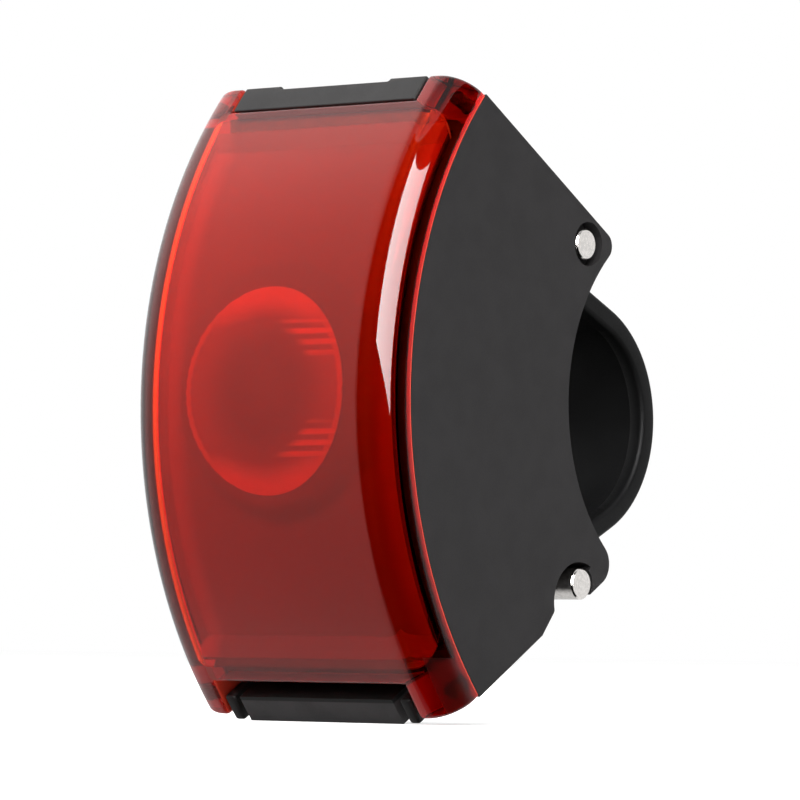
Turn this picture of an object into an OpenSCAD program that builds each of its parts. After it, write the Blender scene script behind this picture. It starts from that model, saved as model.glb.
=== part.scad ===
// Bicycle rear light with a curved red lens, held on a seat post by a rubber strap.
// The post's axis is the X axis. The lens faces -Y, and the light stands on end along Z.

/* [Post and saddle] */
// Radius of the saddle that lies on the seat post
post_r = 16; // [15:0.25:17]
// Thickness of the wall behind the saddle
saddle_wall = 2; // [1.6:0.1:2.6]

/* [Housing] */
// Width of the light between its flat sides
body_w = 26.6; // [25.6:0.2:30]
// Slope of the two end faces
end_slope = 32; // [31:0.5:34]
// Distance of the top end face from the post's axis
top_reach = 5.5; // [5.2:0.1:6.2]
// Distance of the bottom end face from the post's axis
bottom_reach = 5.8; // [5.5:0.1:6.4]
// Thickness of the side walls
side_wall = 1.8; // [1.5:0.1:2.2]
// Thickness of the floor under each end recess
floor_wall = 1.45; // [1.2:0.05:1.8]
// Rounding of the upper lugs' tips
lug_tip_r = 1.1; // [0.8:0.1:1.3]
// Rounding of the hooked lugs' tips
finger_tip_r = 1.7; // [1.4:0.1:1.8]
// Thickness of each lug
lug_t = 4.4; // [3.8:0.1:5]
// How far the hooked lugs stand out of the bottom end face
finger_proud = 0.4; // [0.2:0.05:0.5]

/* [Lens] */
// Height of the lens above its seam on the housing
lens_rise = 3.2; // [2.95:0.05:3.9]
// Distance of the lens's centre below the post's axis
lens_drop = 0.45; // [0:0.05:0.5]
// Rounding of the lens edge
lens_corner = 2.85; // [2.2:0.05:2.9]
// Thickness of the lens
lens_wall = 1.6; // [1.2:0.1:1.8]
// Thickness of the lens walls beside the end recesses
notch_wall = 1; // [0.8:0.1:1.3]
// Gap between the lens and the housing's rim, which the seal bridges
lens_seat = 0.08; // [0.06:0.02:0.16]
// Radius of the pegs that locate the lens's ears
peg_r = 0.55; // [0.4:0.05:0.6]
// Height of those pegs
peg_h = 1; // [0.8:0.1:1.3]
// Width of the seal under the lens
gasket_w = 0.85; // [0.6:0.05:0.95]
// Thickness of the seal under the lens
gasket_t = 0.6; // [0.4:0.05:0.9]

/* [End recesses] */
// Width of the light beside the top recess
top_ear_w = 3.8; // [3.3:0.1:4.3]
// Width of the light beside the bottom recess
bottom_ear_w = 3.5; // [3.3:0.05:3.7]
// Depth of the top recess
top_recess_d = 2.6; // [2.4:0.1:3]
// Depth of the bottom recess
bottom_recess_d = 3.3; // [3.1:0.1:3.5]
// Length of the top recess behind the lens's seam
top_recess_len = 10.95; // [9.95:0.1:11.35]
// Length of the bottom recess behind the lens's seam
bottom_recess_len = 8.15; // [7.55:0.1:8.35]

/* [Port cover] */
// Radius of the cover's hinge pin
hinge_pin_r = 0.5; // [0.4:0.05:0.6]
// How far the hinge pin enters the housing on each side
pin_grip = 1.2; // [0.9:0.1:1.5]
// Width of the cover on each side of its thumb recess
tab_w = 3.9; // [3:0.1:5.5]
// Depth of the thumb recess
thumb_d = 0.3; // [0.2:0.05:0.5]
// Length of the thumb recess
thumb_len = 4.2; // [3:0.2:5]
// Thickness of the rubber seal under the cover
cover_seal_t = 0.4; // [0.3:0.05:0.6]
// Depth of the seal's plug in the socket
plug_depth = 0.7; // [0.4:0.1:0.9]

/* [Button] */
// Gap between the button and each cheek of its bezel
button_gap = 0.65; // [0.5:0.05:1]
// Height of the button
button_h = 2.4; // [2:0.1:2.5]
// How far the button stands out of the end face
button_proud = 0.5; // [0.4:0.1:0.8]
// How far the button travels
button_travel = 0.8; // [0.5:0.1:0.8]
// Radius of the button's stem
stem_r = 1.5; // [1.2:0.1:1.8]
// Thickness of the bezel's cheeks
cheek_t = 1; // [0.85:0.05:1.15]
// Gap between the cheeks and the recess's side walls
cheek_gap = 0.3; // [0.15:0.05:0.4]
// Thickness of the bezel's rear bar
bezel_bar = 1; // [0.8:0.1:1.2]
// Width of the rubber ring round the stem
ring_band = 0.45; // [0.3:0.05:0.5]
// Thickness of the rubber ring round the stem
ring_t = 0.4; // [0.3:0.05:0.45]

/* [Strap and bars] */
// Radius of both steel bars
bar_r = 1.25; // [1:0.05:1.4]
// Distance of the upper pin's axis from the saddle
pin_inset = 2.5; // [2.3:0.1:2.8]
// Distance of the upper pin's axis from the top end face
pin_depth = 2.15; // [2:0.05:2.4]
// Distance of the hook bar's axis from the saddle
hook_inset = 4.13; // [3.9:0.1:4.3]
// Distance of the hook bar's axis from the bottom end face
hook_depth = 0.87; // [0.7:0.05:1]
// How far the upper pin's ends lie below the sides
pin_sink = 0.2; // [0.1:0.05:0.5]
// Radius of the counterbore round the upper pin's ends
counterbore_r = 1.78; // [1.6:0.02:1.9]
// Depth of that counterbore
counterbore_d = 1.2; // [0.6:0.1:1.4]
// Chamfer on the ends of both bars
bar_chamfer = 0.12; // [0.05:0.01:0.2]
// Angle, from straight down, at which the hook bar leaves its hooks
unhook_angle = 38.3; // [37:0.5:40]
// Radius of the hooks' open side
hook_mouth_r = 3.2; // [2.9:0.1:3.4]
// Width of the flare where the hooks open
hook_flare = 1.3; // [0.8:0.1:1.6]
// Thickness of the strap
strap_t = 1.7; // [1.4:0.1:1.9]
// Inner radius of the strap's slack loop
loop_r = 8.1; // [7.6:0.1:8.4]
// Wall of the strap's eyes round the bars
eye_wall = 1.3; // [1:0.1:1.5]
// Distance of the loop's centre in front of the post's axis
loop_offset = 8.24; // [7.6:0.02:9]
// Distance of the loop's centre below the post's axis
loop_drop = 1.03; // [0.6:0.01:1.4]
// Distance from the upper pin's axis to the strap leg's outer face
pin_leg_offset = 0.2; // [-0.2:0.05:0.4]
// Distance from the hook bar's axis to the strap leg's outer face
hook_leg_offset = -0.3; // [-0.4:0.05:0.3]

/* [Lamp] */
// Radius of the round optic
optic_r = 8; // [7:0.1:8.4]
// Thickness of the optic's plate
optic_t = 0.8; // [0.6:0.1:1.2]
// Spacing of the optic's flutes
flute_pitch = 0.85; // [0.7:0.05:1.2]
// Height of the flutes
flute_h = 0.25; // [0.15:0.05:0.35]
// Wall of the reflector bowl
bowl_wall = 0.8; // [0.6:0.1:1]
// Inner radius of the bowl at the lamp
bowl_base_r = 2.6; // [2.4:0.1:3.2]
// Width of the main lamp
led_w = 3.4; // [2.8:0.1:3.5]
// Thickness of the main lamp's base
led_t = 0.7; // [0.5:0.1:0.9]
// Radius of the main lamp's dome
led_dome_r = 1.3; // [0.9:0.1:1.4]
// Gap between the reflector panel and each side wall
panel_side_gap = 0.15; // [0.1:0.05:0.6]
// Depth between the main board and the lens's seam
lamp_room = 6.95; // [6.6:0.05:7.6]
// Thickness of the reflector panel
panel_t = 1.2; // [0.8:0.1:1.4]
// Radius of the panel's legs
panel_leg_r = 0.9; // [0.7:0.1:1]

/* [Boards] */
// Gap between the main board and each side wall
board_side_gap = 0.3; // [0.1:0.1:0.6]
// Gap between the main board's ends and the small boards
board_end_gap = 1; // [0.9:0.1:1.4]
// Thickness of the main board
board_t = 1; // [0.8:0.1:1.2]
// Thickness of the two small boards
small_board_t = 0.8; // [0.6:0.1:1]
// Gap between the two small boards and each side wall
small_board_side_gap = 3.5; // [2.5:0.1:4.5]
// Length of the two small boards
small_board_len = 5.4; // [5.2:0.1:5.6]
// Distance of the small boards' front edges from the lens's seam
small_board_inset = 2.35; // [2.25:0.05:2.55]
// Radius of the posts that carry the small boards
post_pin_r = 0.9; // [0.7:0.1:1]
// Width of the charging socket
usb_w = 8.9; // [8.4:0.1:9.2]
// Height of the charging socket
usb_h = 3.2; // [2.9:0.1:3.4]
// Length of the charging socket
usb_len = 5.2; // [4.8:0.1:5.4]
// Sheet thickness of the charging socket
usb_sheet = 0.3; // [0.2:0.05:0.4]
// Width of the push switch
switch_w = 5.2; // [4.6:0.1:5.4]
// Height of the push switch
switch_h = 3.2; // [2.8:0.1:3.4]
// Radius of the switch's plunger
plunger_r = 0.9; // [0.7:0.1:1.1]
// Width of the flat cables
flex_w = 6; // [4:0.5:8]
// Thickness of the flat cables
flex_t = 0.2; // [0.15:0.05:0.3]
// Screw shank radius
screw_r = 0.8; // [0.7:0.05:0.9]
// Screw head radius
screw_head_r = 1.4; // [1.2:0.05:1.5]
// Screw head height
screw_head_h = 0.8; // [0.6:0.1:1]
// Screw length under the head
screw_len = 4.5; // [4:0.5:6]
// Radius of the bosses under the main board
boss_r = 1.5; // [1.4:0.05:1.6]
// Height of the screws above and below the middle
screw_z = 7.5; // [7:0.1:8]

/* [Battery] */
// Gap between the cell and the bosses beside it
cell_side_gap = 0.5; // [0.3:0.1:1.6]
// Height of the cell
cell_h = 19; // [16:0.2:19.4]
// Thickness of the cell
cell_t = 6; // [5:0.1:6.2]
// Thickness of the foam pad at its thinnest
pad_t = 2; // [1.6:0.1:2.2]
// Gap between the cell and the main board
cell_gap = 1.6; // [1.4:0.1:2]
// Radius of the cell's wires
wire_r = 0.4; // [0.3:0.05:0.5]

/* [Hidden] */
$fn = 96;
// Round stretches that only guide small details take fewer steps.
small_fn = 48;
corner_fn = 64;
// Wide curves round the post's axis take more.
ring_fn = 180;
// Reach of cutting shapes past what they cut.
far = 60;
over = 1;
// Overlap by which the stretches of one piece run into each other.
fuse = 0.05;
// Gaps between pieces that slide, turn or drop in.
slide_gap = 0.15;
run_gap = 0.05;
seat_gap = 0.02;
drop_gap = 0.1;
strap_gap = 0.2;

half_w = body_w / 2;
cavity_w = body_w - 2 * side_wall;
lens_in_w = body_w - 2 * lens_wall;
top_recess_w = body_w - 2 * top_ear_w;
bottom_recess_w = body_w - 2 * bottom_ear_w;
button_w = bottom_recess_w - 2 * (cheek_gap + cheek_t + button_gap);
hinge_pin_len = top_recess_w + 2 * pin_grip;
thumb_w = top_recess_w - 2 * tab_w;
panel_w = cavity_w - 2 * panel_side_gap;
board_w = cavity_w - 2 * board_side_gap;
small_board_w = cavity_w - 2 * small_board_side_gap;

// Heights of the recess floors, measured square to each end face from the post's axis.
top_floor = top_reach - top_recess_d;
bottom_floor = bottom_reach - bottom_recess_d;
finger_reach = bottom_reach + finger_proud;
cavity_top = top_floor - floor_wall;
cavity_bottom = bottom_floor - floor_wall;

// The strap runs between the lugs, and the bars cross it.
lug_gap = body_w - 2 * lug_t;
strap_w = lug_gap - 2 * strap_gap;
eye_in_r = bar_r + run_gap;
eye_r = eye_in_r + eye_wall;
slot_r = eye_r + strap_gap;
slot_wall = 1.2;
hook_r = bar_r + drop_gap;
// Middle of the hooks' open side, from the bar's axis.
hook_mouth_at = [-0.36, -1.47];
// How far along the bar's way out the flare begins and ends.
flare_near = 2;
flare_far = 5;

// A point given along and above an end face, as Y and Z of the side view.
function end_point(along, above, side) =
    [along * cos(end_slope) + above * sin(end_slope),
     side * (above * cos(end_slope) - along * sin(end_slope))];
function on_ring(r, above) = -sqrt(r * r - above * above);

pin_above = top_reach - pin_depth;
pin_along = on_ring(post_r + pin_inset, pin_above);
pin_at = end_point(pin_along, pin_above, 1);
hook_above = bottom_reach - hook_depth;
hook_along = on_ring(post_r + hook_inset, hook_above);
hook_at = end_point(hook_along, hook_above, -1);
unhook_dir = [-sin(unhook_angle), -cos(unhook_angle)];
loop_at = [-loop_offset, -loop_drop];

// Each straight leg of the strap dips a little into the loop, and both run on to where they cross.
leg_in_r = loop_r - fuse;
leg_out_r = leg_in_r + strap_t;
lap_angle = acos(1 - fuse / (loop_r + strap_t / 2));
leg_lap = (loop_r + strap_t / 2) * sin(lap_angle);

// Direction, from the loop's centre, of the point where the strap leaves the loop for an eye.
function leg_angle(bar, offset, side) =
    let (reach = bar - loop_at,
         swing = acos((leg_out_r + offset) / norm(reach)))
    atan2(reach[1], reach[0]) - side * swing;
function leg_len(bar, offset) =
    sqrt(pow(norm(bar - loop_at), 2) - pow(leg_out_r + offset, 2));
// A far point in that direction, which bounds the loop.
function loop_end(angle) = loop_at + far * [cos(angle), sin(angle)];
pin_leg = leg_angle(pin_at, pin_leg_offset, 1);
hook_leg = leg_angle(hook_at, hook_leg_offset, -1);
pin_leg_len = leg_len(pin_at, pin_leg_offset);
hook_leg_len = leg_len(hook_at, hook_leg_offset);

// Depths, along Y, of the pieces stacked behind the lens.
cell_back = -(post_r + saddle_wall + pad_t);
cell_front = cell_back - cell_t;
board_back = cell_front - cell_gap;
board_front = board_back - board_t;
screw_tip = board_front - screw_head_h + screw_len;

// Radii, from the post's axis, of the lens and what follows its curve.
seam_r = lamp_room - board_front;
lens_r = seam_r + lens_rise;
lens_in_r = lens_r - lens_wall;
top_recess_back = seam_r - top_recess_len;
bottom_recess_back = seam_r - bottom_recess_len;
small_board_front = seam_r - small_board_inset;
optic_clear = 1.2;
optic_front = -(lens_in_r - optic_clear);
optic_back = optic_front + optic_t + flute_h;
panel_clear = 0.15;
panel_r = seam_r - panel_clear;
panel_in_r = panel_r - panel_t;

// Insets of the pegs, the panel legs, the screws and the posts from the edges of what they stand on.
peg_inset = 1.6;
peg_inset_x = 1.35;
peg_x = half_w - peg_inset_x;
leg_inset_x = 3.85;
leg_inset_z = 1.6;
screw_inset = 1.1;
post_inset = 1.2;
// Overlap of the flat cables on the main board.
flex_lap = 1.2;
leg_x = panel_w / 2 - leg_inset_x;
screw_x = board_w / 2 - screw_inset;
cell_w = 2 * (screw_x - boss_r - cell_side_gap);
post_x = small_board_w / 2 - post_inset;

// Heights of the small boards' faces, and where they sit along the end faces.
socket_sunk = 0.2;
socket_mouth = top_floor - socket_sunk;
port_board_top = socket_mouth - usb_len;
small_board_back = small_board_front - small_board_len;
usb_at = -(small_board_front + small_board_back) / 2;
stem_at = usb_at;
switch_gap = 0.8;
switch_board_top = cavity_bottom - switch_gap - switch_h;
// Half the main board's height: up to the switch board's inner face, less the gap.
switch_board_inner = switch_board_top - small_board_t;
board_half_h = (switch_board_inner - board_back * sin(end_slope)) / cos(end_slope) - board_end_gap;
board_h = 2 * board_half_h;
leg_z = board_half_h - leg_inset_z;
button_top = bottom_reach + button_proud;
button_bottom = button_top - button_h;
stem_spare = 0.3;
stem_end = switch_board_top + switch_h + button_travel + stem_spare;

// Cover plate between the recess floor and the end face.
cover_under = top_floor + run_gap;
cover_over = top_reach - run_gap;
hinge_above = (cover_under + cover_over) / 2;
knuckle_r = (cover_over - cover_under) / 2;
hinge_gap = 0.3;
hinge_at = -(top_recess_back + hinge_gap + knuckle_r);

// A side view, drawn with Y to the right and Z up, made solid along X.
module across(w) {
    rotate([90, 0, 90]) linear_extrude(height = w, center = true) children();
}

// A cylinder along X through a point of the side view.
module rod(at, r, len, fn = $fn) {
    translate([0, at[0], at[1]]) rotate([0, 90, 0]) cylinder(r = r, h = len, center = true, $fn = fn);
}

// Frames of the two end faces: Y runs back along the face, Z points out of it.
module at_top() {
    rotate([-end_slope, 0, 0]) children();
}

module at_bottom() {
    mirror([0, 0, 1]) rotate([-end_slope, 0, 0]) children();
}

// A box of an end's frame, centred across X.
module end_box(w, from, to, low, high) {
    translate([-w / 2, from, low]) cube([w, to - from, high - low]);
}

// A round bar along -Y.
module forward_bar(x, z, r, from, to, fn = small_fn) {
    translate([x, from, z]) rotate([90, 0, 0]) cylinder(r = r, h = from - to, $fn = fn);
}

// Side view between two planes parallel to the end faces.
module between_ends(top, bottom) {
    intersection() {
        rotate(-end_slope) translate([-far, -far]) square([2 * far, far + top]);
        mirror([0, 1]) rotate(-end_slope) translate([-far, -far]) square([2 * far, far + bottom]);
    }
}

// Side view of a lug tip: what the round cuts off, and the round itself.
module tip_waste(reach, r) {
    above = reach - r;
    along = on_ring(post_r + r, above);
    polygon([[along, above], [along, reach + over], [0, reach + over], [along / 2, above / 2]]);
}

module tip_round(reach, r) {
    above = reach - r;
    translate([on_ring(post_r + r, above), above]) circle(r = r);
}

module side_outline() {
    difference() {
        union() {
            intersection() {
                circle(r = seam_r, $fn = ring_fn);
                between_ends(top_reach, bottom_reach);
            }
            // The hooked lugs stand out of the bottom end face.
            mirror([0, 1]) rotate(-end_slope) translate([hook_along, 0]) square([-hook_along, finger_reach]);
        }
        circle(r = post_r);
        rotate(-end_slope) tip_waste(top_reach, lug_tip_r);
        mirror([0, 1]) rotate(-end_slope) tip_waste(finger_reach, finger_tip_r);
    }
    rotate(-end_slope) tip_round(top_reach, lug_tip_r);
    mirror([0, 1]) rotate(-end_slope) tip_round(finger_reach, finger_tip_r);
}

// Path of a round shape that is pulled out of the hooks with the bar.
module unhook_path(r) {
    translate(hook_at) {
        circle(r = r);
        rotate(-90 - unhook_angle) translate([0, -r]) square([far / 4, 2 * r]);
    }
}

// Side view of one straight leg of the strap, grown by a gap.
module strap_leg(angle, from, to, gap) {
    translate(loop_at) rotate(angle) translate([leg_in_r - gap, from]) square([strap_t + 2 * gap, to - from]);
}

// Both legs, from the loop to the foot of the bar's axis on the leg.
module strap_legs(gap) {
    strap_leg(pin_leg, -leg_lap, pin_leg_len, gap);
    strap_leg(hook_leg, -hook_leg_len, leg_lap, gap);
}

// Room for the strap between the lugs, open behind each bar.
module strap_room() {
    translate(pin_at) circle(r = slot_r);
    unhook_path(slot_r);
    strap_legs(strap_gap);
    rotate(-end_slope) translate([pin_along, pin_above - slot_r + fuse]) square([far, far]);
    mirror([0, 1]) rotate(-end_slope) translate([hook_along, hook_above - slot_r + fuse]) square([far, far]);
}

// The hooks hold the bar against the strap's pull and open downwards.
module hook_pocket() {
    unhook_path(hook_r);
    wall_low = hook_at + [-hook_mouth_r, -hook_mouth_r / 2];
    flare_low = wall_low + [-hook_flare, -2 * hook_flare];
    intersection() {
        translate(hook_at + hook_mouth_at) circle(r = hook_mouth_r);
        translate(hook_at) rotate(-90 - unhook_angle) translate([-far, -far]) square([2 * far, far]);
    }
    polygon([wall_low, flare_low, hook_at + flare_far * unhook_dir, hook_at + flare_near * unhook_dir]);
}

module cavity_outline() {
    difference() {
        intersection() {
            circle(r = seam_r + over, $fn = ring_fn);
            between_ends(cavity_top, cavity_bottom);
        }
        circle(r = post_r + saddle_wall);
        translate(pin_at) circle(r = slot_r + slot_wall);
        unhook_path(slot_r + slot_wall);
    }
}

// A boss that grows out of the wall behind the saddle.
module boss(x, z) {
    forward_bar(x, z, boss_r, on_ring(post_r + saddle_wall / 2, z), board_back);
}

module housing() {
    color([0.16, 0.15, 0.15])
    difference() {
        union() {
            difference() {
                across(body_w) side_outline();
                across(cavity_w) cavity_outline();
                // Rebate for the seal under the lens.
                across(cavity_w + 2 * gasket_w + 2 * seat_gap) difference() {
                    intersection() {
                        circle(r = seam_r + over, $fn = ring_fn);
                        between_ends(cavity_top + gasket_w + seat_gap, cavity_bottom + gasket_w + seat_gap);
                    }
                    circle(r = seam_r - gasket_t - seat_gap, $fn = ring_fn);
                }
            }
            for (x = [-screw_x, screw_x], z = [-screw_z, screw_z]) boss(x, z);
            small_board_posts();
            lens_pegs(0);
        }
        at_top() end_box(top_recess_w, -far, -top_recess_back, top_floor, far);
        at_bottom() end_box(bottom_recess_w, -far, -bottom_recess_back, bottom_floor, far);
        across(lug_gap) strap_room();
        rod(pin_at, bar_r + seat_gap, body_w + over);
        for (side = [-1, 1]) {
            translate([side * (half_w - lug_t / 2), 0, 0]) across(lug_t + 2 * fuse) hook_pocket();
            translate([side * half_w, 0, 0]) rod(pin_at, counterbore_r, 2 * counterbore_d);
        }
        at_top() {
            end_box(usb_w + 2 * drop_gap, usb_at - usb_h / 2 - drop_gap, usb_at + usb_h / 2 + drop_gap,
                    cavity_top - over, top_floor + over);
            rod([hinge_at, hinge_above], hinge_pin_r + seat_gap, hinge_pin_len + 2 * seat_gap, small_fn);
        }
        at_bottom() translate([0, stem_at, cavity_bottom - over])
            cylinder(r = stem_r + drop_gap, h = floor_wall + 2 * over, $fn = small_fn);
        for (x = [-screw_x, screw_x], z = [-screw_z, screw_z])
            forward_bar(x, z, screw_r + seat_gap, screw_tip + seat_gap, board_back - over);
    }
}

// Posts under the recess floors that carry the small boards.
module small_board_posts() {
    for (x = [-post_x, post_x]) {
        at_top() translate([x, usb_at, port_board_top])
            cylinder(r = post_pin_r, h = top_floor - port_board_top - over / 2, $fn = small_fn);
        at_bottom() translate([x, stem_at, switch_board_top])
            cylinder(r = post_pin_r, h = bottom_floor - switch_board_top - over / 2, $fn = small_fn);
    }
}

// Pegs on the housing's rim, one in each ear of the lens, grown by a gap.
module lens_pegs(gap) {
    for (x = [-peg_x, peg_x]) {
        at_top() lens_peg(x, top_reach - peg_inset, gap);
        at_bottom() lens_peg(x, bottom_reach - peg_inset, gap);
    }
}

module lens_peg(x, above, gap) {
    forward_bar(x, above, peg_r + gap, -seam_r + peg_h, -seam_r - peg_h - gap);
}

// Section of the lens, with its radius along X and its width along Y.
module lens_section(r, w, corner, from) {
    intersection() {
        translate([from, -w / 2]) square([r - from, w]);
        union() {
            translate([0, -w / 2]) square([r - corner, w]);
            translate([0, -w / 2 + corner]) square([r, w - 2 * corner]);
            for (side = [-1, 1])
                translate([r - corner, side * (w / 2 - corner)]) circle(r = corner, $fn = corner_fn);
        }
    }
}

// A section turned about the lens's centre, wide enough to reach past both ends.
module lens_turn() {
    half_turn = 52;
    translate([0, 0, -lens_drop]) rotate([90, 0, 90]) rotate([0, 0, 180 - half_turn])
        rotate_extrude(angle = 2 * half_turn, $fn = ring_fn) children();
}

// All that lies inside the lens's curve by a gap.
module lens_round(gap) {
    rod([0, -lens_drop], lens_r - gap, body_w, ring_fn);
}

module end_notches(grow) {
    at_top() end_box(top_recess_w + 2 * grow, -far, 0, top_floor - grow, far);
    at_bottom() end_box(bottom_recess_w + 2 * grow, -far, 0, bottom_floor - grow, far);
}

module lens() {
    color([0.75, 0.1, 0.1, 0.85])
    difference() {
        intersection() {
            lens_turn() lens_section(lens_r, body_w, lens_corner, seam_r - over);
            across(body_w + over) between_ends(top_reach, bottom_reach);
        }
        across(body_w + over) circle(r = seam_r + lens_seat, $fn = ring_fn);
        end_notches(0);
        lens_pegs(drop_gap);
        difference() {
            intersection() {
                lens_turn() lens_section(lens_in_r, lens_in_w, lens_corner - lens_wall, seam_r - 2 * over);
                across(body_w) between_ends(top_reach - lens_wall, bottom_reach - lens_wall);
            }
            end_notches(notch_wall);
        }
    }
}

module lens_gasket() {
    color([0.1, 0.1, 0.1])
    difference() {
        across(cavity_w + 2 * gasket_w) difference() {
            intersection() {
                circle(r = seam_r + lens_seat - seat_gap, $fn = ring_fn);
                between_ends(cavity_top + gasket_w, cavity_bottom + gasket_w);
            }
            circle(r = seam_r - gasket_t, $fn = ring_fn);
        }
        across(cavity_w + 2 * seat_gap) intersection() {
            circle(r = seam_r + over, $fn = ring_fn);
            between_ends(cavity_top + seat_gap, cavity_bottom + seat_gap);
        }
    }
}

module reflector_panel() {
    end_gap = 0.25;
    color([0.85, 0.82, 0.8])
    difference() {
        union() {
            across(panel_w) difference() {
                intersection() {
                    circle(r = panel_r, $fn = ring_fn);
                    between_ends(cavity_top - end_gap, cavity_bottom - end_gap);
                    translate([-far, -far]) square([far, 2 * far]);
                }
                circle(r = panel_in_r, $fn = ring_fn);
            }
            for (x = [-leg_x, leg_x], z = [-leg_z, leg_z])
                forward_bar(x, z, panel_leg_r, board_front, on_ring(panel_in_r, z) - panel_t / 2);
        }
        forward_bar(0, 0, optic_r + bowl_wall + slide_gap, -panel_in_r / 2, -far, $fn);
    }
}

module reflector_bowl() {
    color([0.9, 0.9, 0.9])
    rotate([90, 0, 0]) rotate_extrude() polygon([
        [bowl_base_r, -board_front], [bowl_base_r + bowl_wall, -board_front],
        [optic_r + bowl_wall, -optic_back - bowl_wall], [optic_r + bowl_wall, -optic_front - flute_h],
        [optic_r + seat_gap, -optic_front - flute_h], [optic_r + seat_gap, -optic_back],
        [optic_r - bowl_wall, -optic_back]]);
}

// A round plate with flutes on its front. The plate lies a little above the valleys between the flutes.
module optic_disc() {
    plate_front = optic_front + 0.8 * flute_h;
    plate_h = 2 * optic_r + 2 * over;
    flute_r = (flute_h * flute_h + flute_pitch * flute_pitch / 4) / (2 * flute_h);
    count = ceil(optic_r / flute_pitch);
    color([0.85, 0.25, 0.2, 0.8])
    intersection() {
        forward_bar(0, 0, optic_r, optic_back, optic_front - over, $fn);
        across(2 * optic_r + over) {
            translate([plate_front, -plate_h / 2]) square([optic_back + over - plate_front, plate_h]);
            for (row = [-count : count])
                translate([optic_front + flute_r, row * flute_pitch]) circle(r = flute_r, $fn = small_fn);
        }
    }
}

module led_emitter() {
    color([0.95, 0.85, 0.5]) {
        translate([-led_w / 2, board_front - led_t, -led_w / 2]) cube([led_w, led_t, led_w]);
        intersection() {
            translate([0, board_front - led_t, 0]) sphere(r = led_dome_r, $fn = small_fn);
            forward_bar(0, 0, 2 * led_dome_r, board_front - led_t / 2, board_front - 3 * led_dome_r);
        }
    }
}

// Small lamps above and below the bowl, of the main lamp's make.
module side_leds() {
    lamp = [0.65 * led_w, 0.24 * led_w, 0.47 * led_w];
    lamp_x = led_w;
    lamp_z = optic_r + drop_gap * 2;
    color([0.95, 0.9, 0.7])
    for (x = [-lamp_x, lamp_x], z = [-lamp_z, lamp_z])
        translate([x - lamp[0] / 2, board_front - lamp[1], z - lamp[2] / 2]) cube(lamp);
}

module main_board() {
    color([0.1, 0.35, 0.2])
    difference() {
        translate([-board_w / 2, board_front, -board_h / 2]) cube([board_w, board_t, board_h]);
        for (x = [-screw_x, screw_x], z = [-screw_z, screw_z])
            forward_bar(x, z, screw_r + drop_gap, board_back + over, board_front - over);
    }
}

// One chip on the back of the board, by its middle, width and height in units of the largest chip.
module chip(x, z, w, h) {
    unit = board_w / 5.6;
    chip_t = 0.55 * cell_gap;
    translate([(x - w / 2) * unit, board_back, (z - h / 2) * unit]) cube([w * unit, chip_t, h * unit]);
}

// Charger, driver, memory and one small part.
module driver_chips() {
    color([0.08, 0.08, 0.08]) {
        chip(x = -1.1, z = 0, w = 1, h = 1);
        chip(x = 0.65, z = 0.9, w = 0.75, h = 0.65);
        chip(x = 1.1, z = -0.8, w = 0.6, h = 0.85);
        chip(x = -0.3, z = -1.4, w = 0.5, h = 0.35);
    }
}

module board_screws() {
    slot_w = 0.4;
    slot_d = 0.4;
    slot = [2 * screw_head_r + over, slot_d + fuse, slot_w];
    color([0.75, 0.75, 0.75])
    for (x = [-screw_x, screw_x], z = [-screw_z, screw_z]) difference() {
        union() {
            forward_bar(x, z, screw_head_r, board_front, board_front - screw_head_h);
            forward_bar(x, z, screw_r, screw_tip, board_front - screw_head_h / 2);
        }
        translate([x - slot[0] / 2, board_front - screw_head_h - fuse, z - slot[2] / 2]) cube(slot);
    }
}

module battery_cell() {
    color([0.7, 0.7, 0.72])
    translate([-cell_w / 2, cell_front, -cell_h / 2]) cube([cell_w, cell_t, cell_h]);
}

module battery_pad() {
    inset = 1;
    color([0.2, 0.2, 0.22])
    difference() {
        translate([-cell_w / 2 + inset, cell_back, -cell_h / 2 + inset])
            cube([cell_w - 2 * inset, -cell_back, cell_h - 2 * inset]);
        rod([0, 0], post_r + saddle_wall + seat_gap, body_w, ring_fn);
        translate([-half_w, -post_r - saddle_wall / 2, -far]) cube([body_w, far, 2 * far]);
    }
}

// Two wires from the cell's upper edge to the back of the board.
module battery_leads() {
    rise = 1.1;
    wire_x = 2;
    wire_y = cell_front + cell_t / 2;
    color([0.7, 0.12, 0.1])
    for (x = [-wire_x, wire_x]) {
        translate([x, wire_y, cell_h / 2]) cylinder(r = wire_r, h = rise, $fn = small_fn);
        translate([x, wire_y, cell_h / 2 + rise]) sphere(r = wire_r, $fn = small_fn);
        forward_bar(x, cell_h / 2 + rise, wire_r, wire_y, board_back);
    }
}

module small_board(top) {
    end_box(small_board_w, -small_board_front, -small_board_back, top - small_board_t, top);
}

module port_board() {
    color([0.1, 0.35, 0.2]) at_top() small_board(port_board_top);
}

module usb_socket() {
    color([0.8, 0.8, 0.8]) at_top() difference() {
        end_box(usb_w, usb_at - usb_h / 2, usb_at + usb_h / 2, port_board_top, socket_mouth);
        end_box(usb_w - 2 * usb_sheet, usb_at - usb_h / 2 + usb_sheet, usb_at + usb_h / 2 - usb_sheet,
                port_board_top + usb_sheet, socket_mouth + over);
    }
}

module usb_tongue() {
    tongue_w = 6.6;
    tongue_t = 0.7;
    tongue_gap = 0.5;
    color([0.1, 0.1, 0.1]) at_top()
        end_box(tongue_w, usb_at - tongue_t / 2, usb_at + tongue_t / 2,
                port_board_top + usb_sheet, socket_mouth - plug_depth - tongue_gap);
}

// A flat cable that laps over the main board's front face and ends under a small board.
module flex(low, high) {
    translate([-flex_w / 2, board_front - flex_t, low]) cube([flex_w, flex_t, high - low]);
}

module port_flex() {
    color([0.75, 0.5, 0.15]) difference() {
        flex(board_h / 2 - flex_lap, board_h);
        at_top() end_box(body_w, -far, far, port_board_top - small_board_t, far);
    }
}

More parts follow.
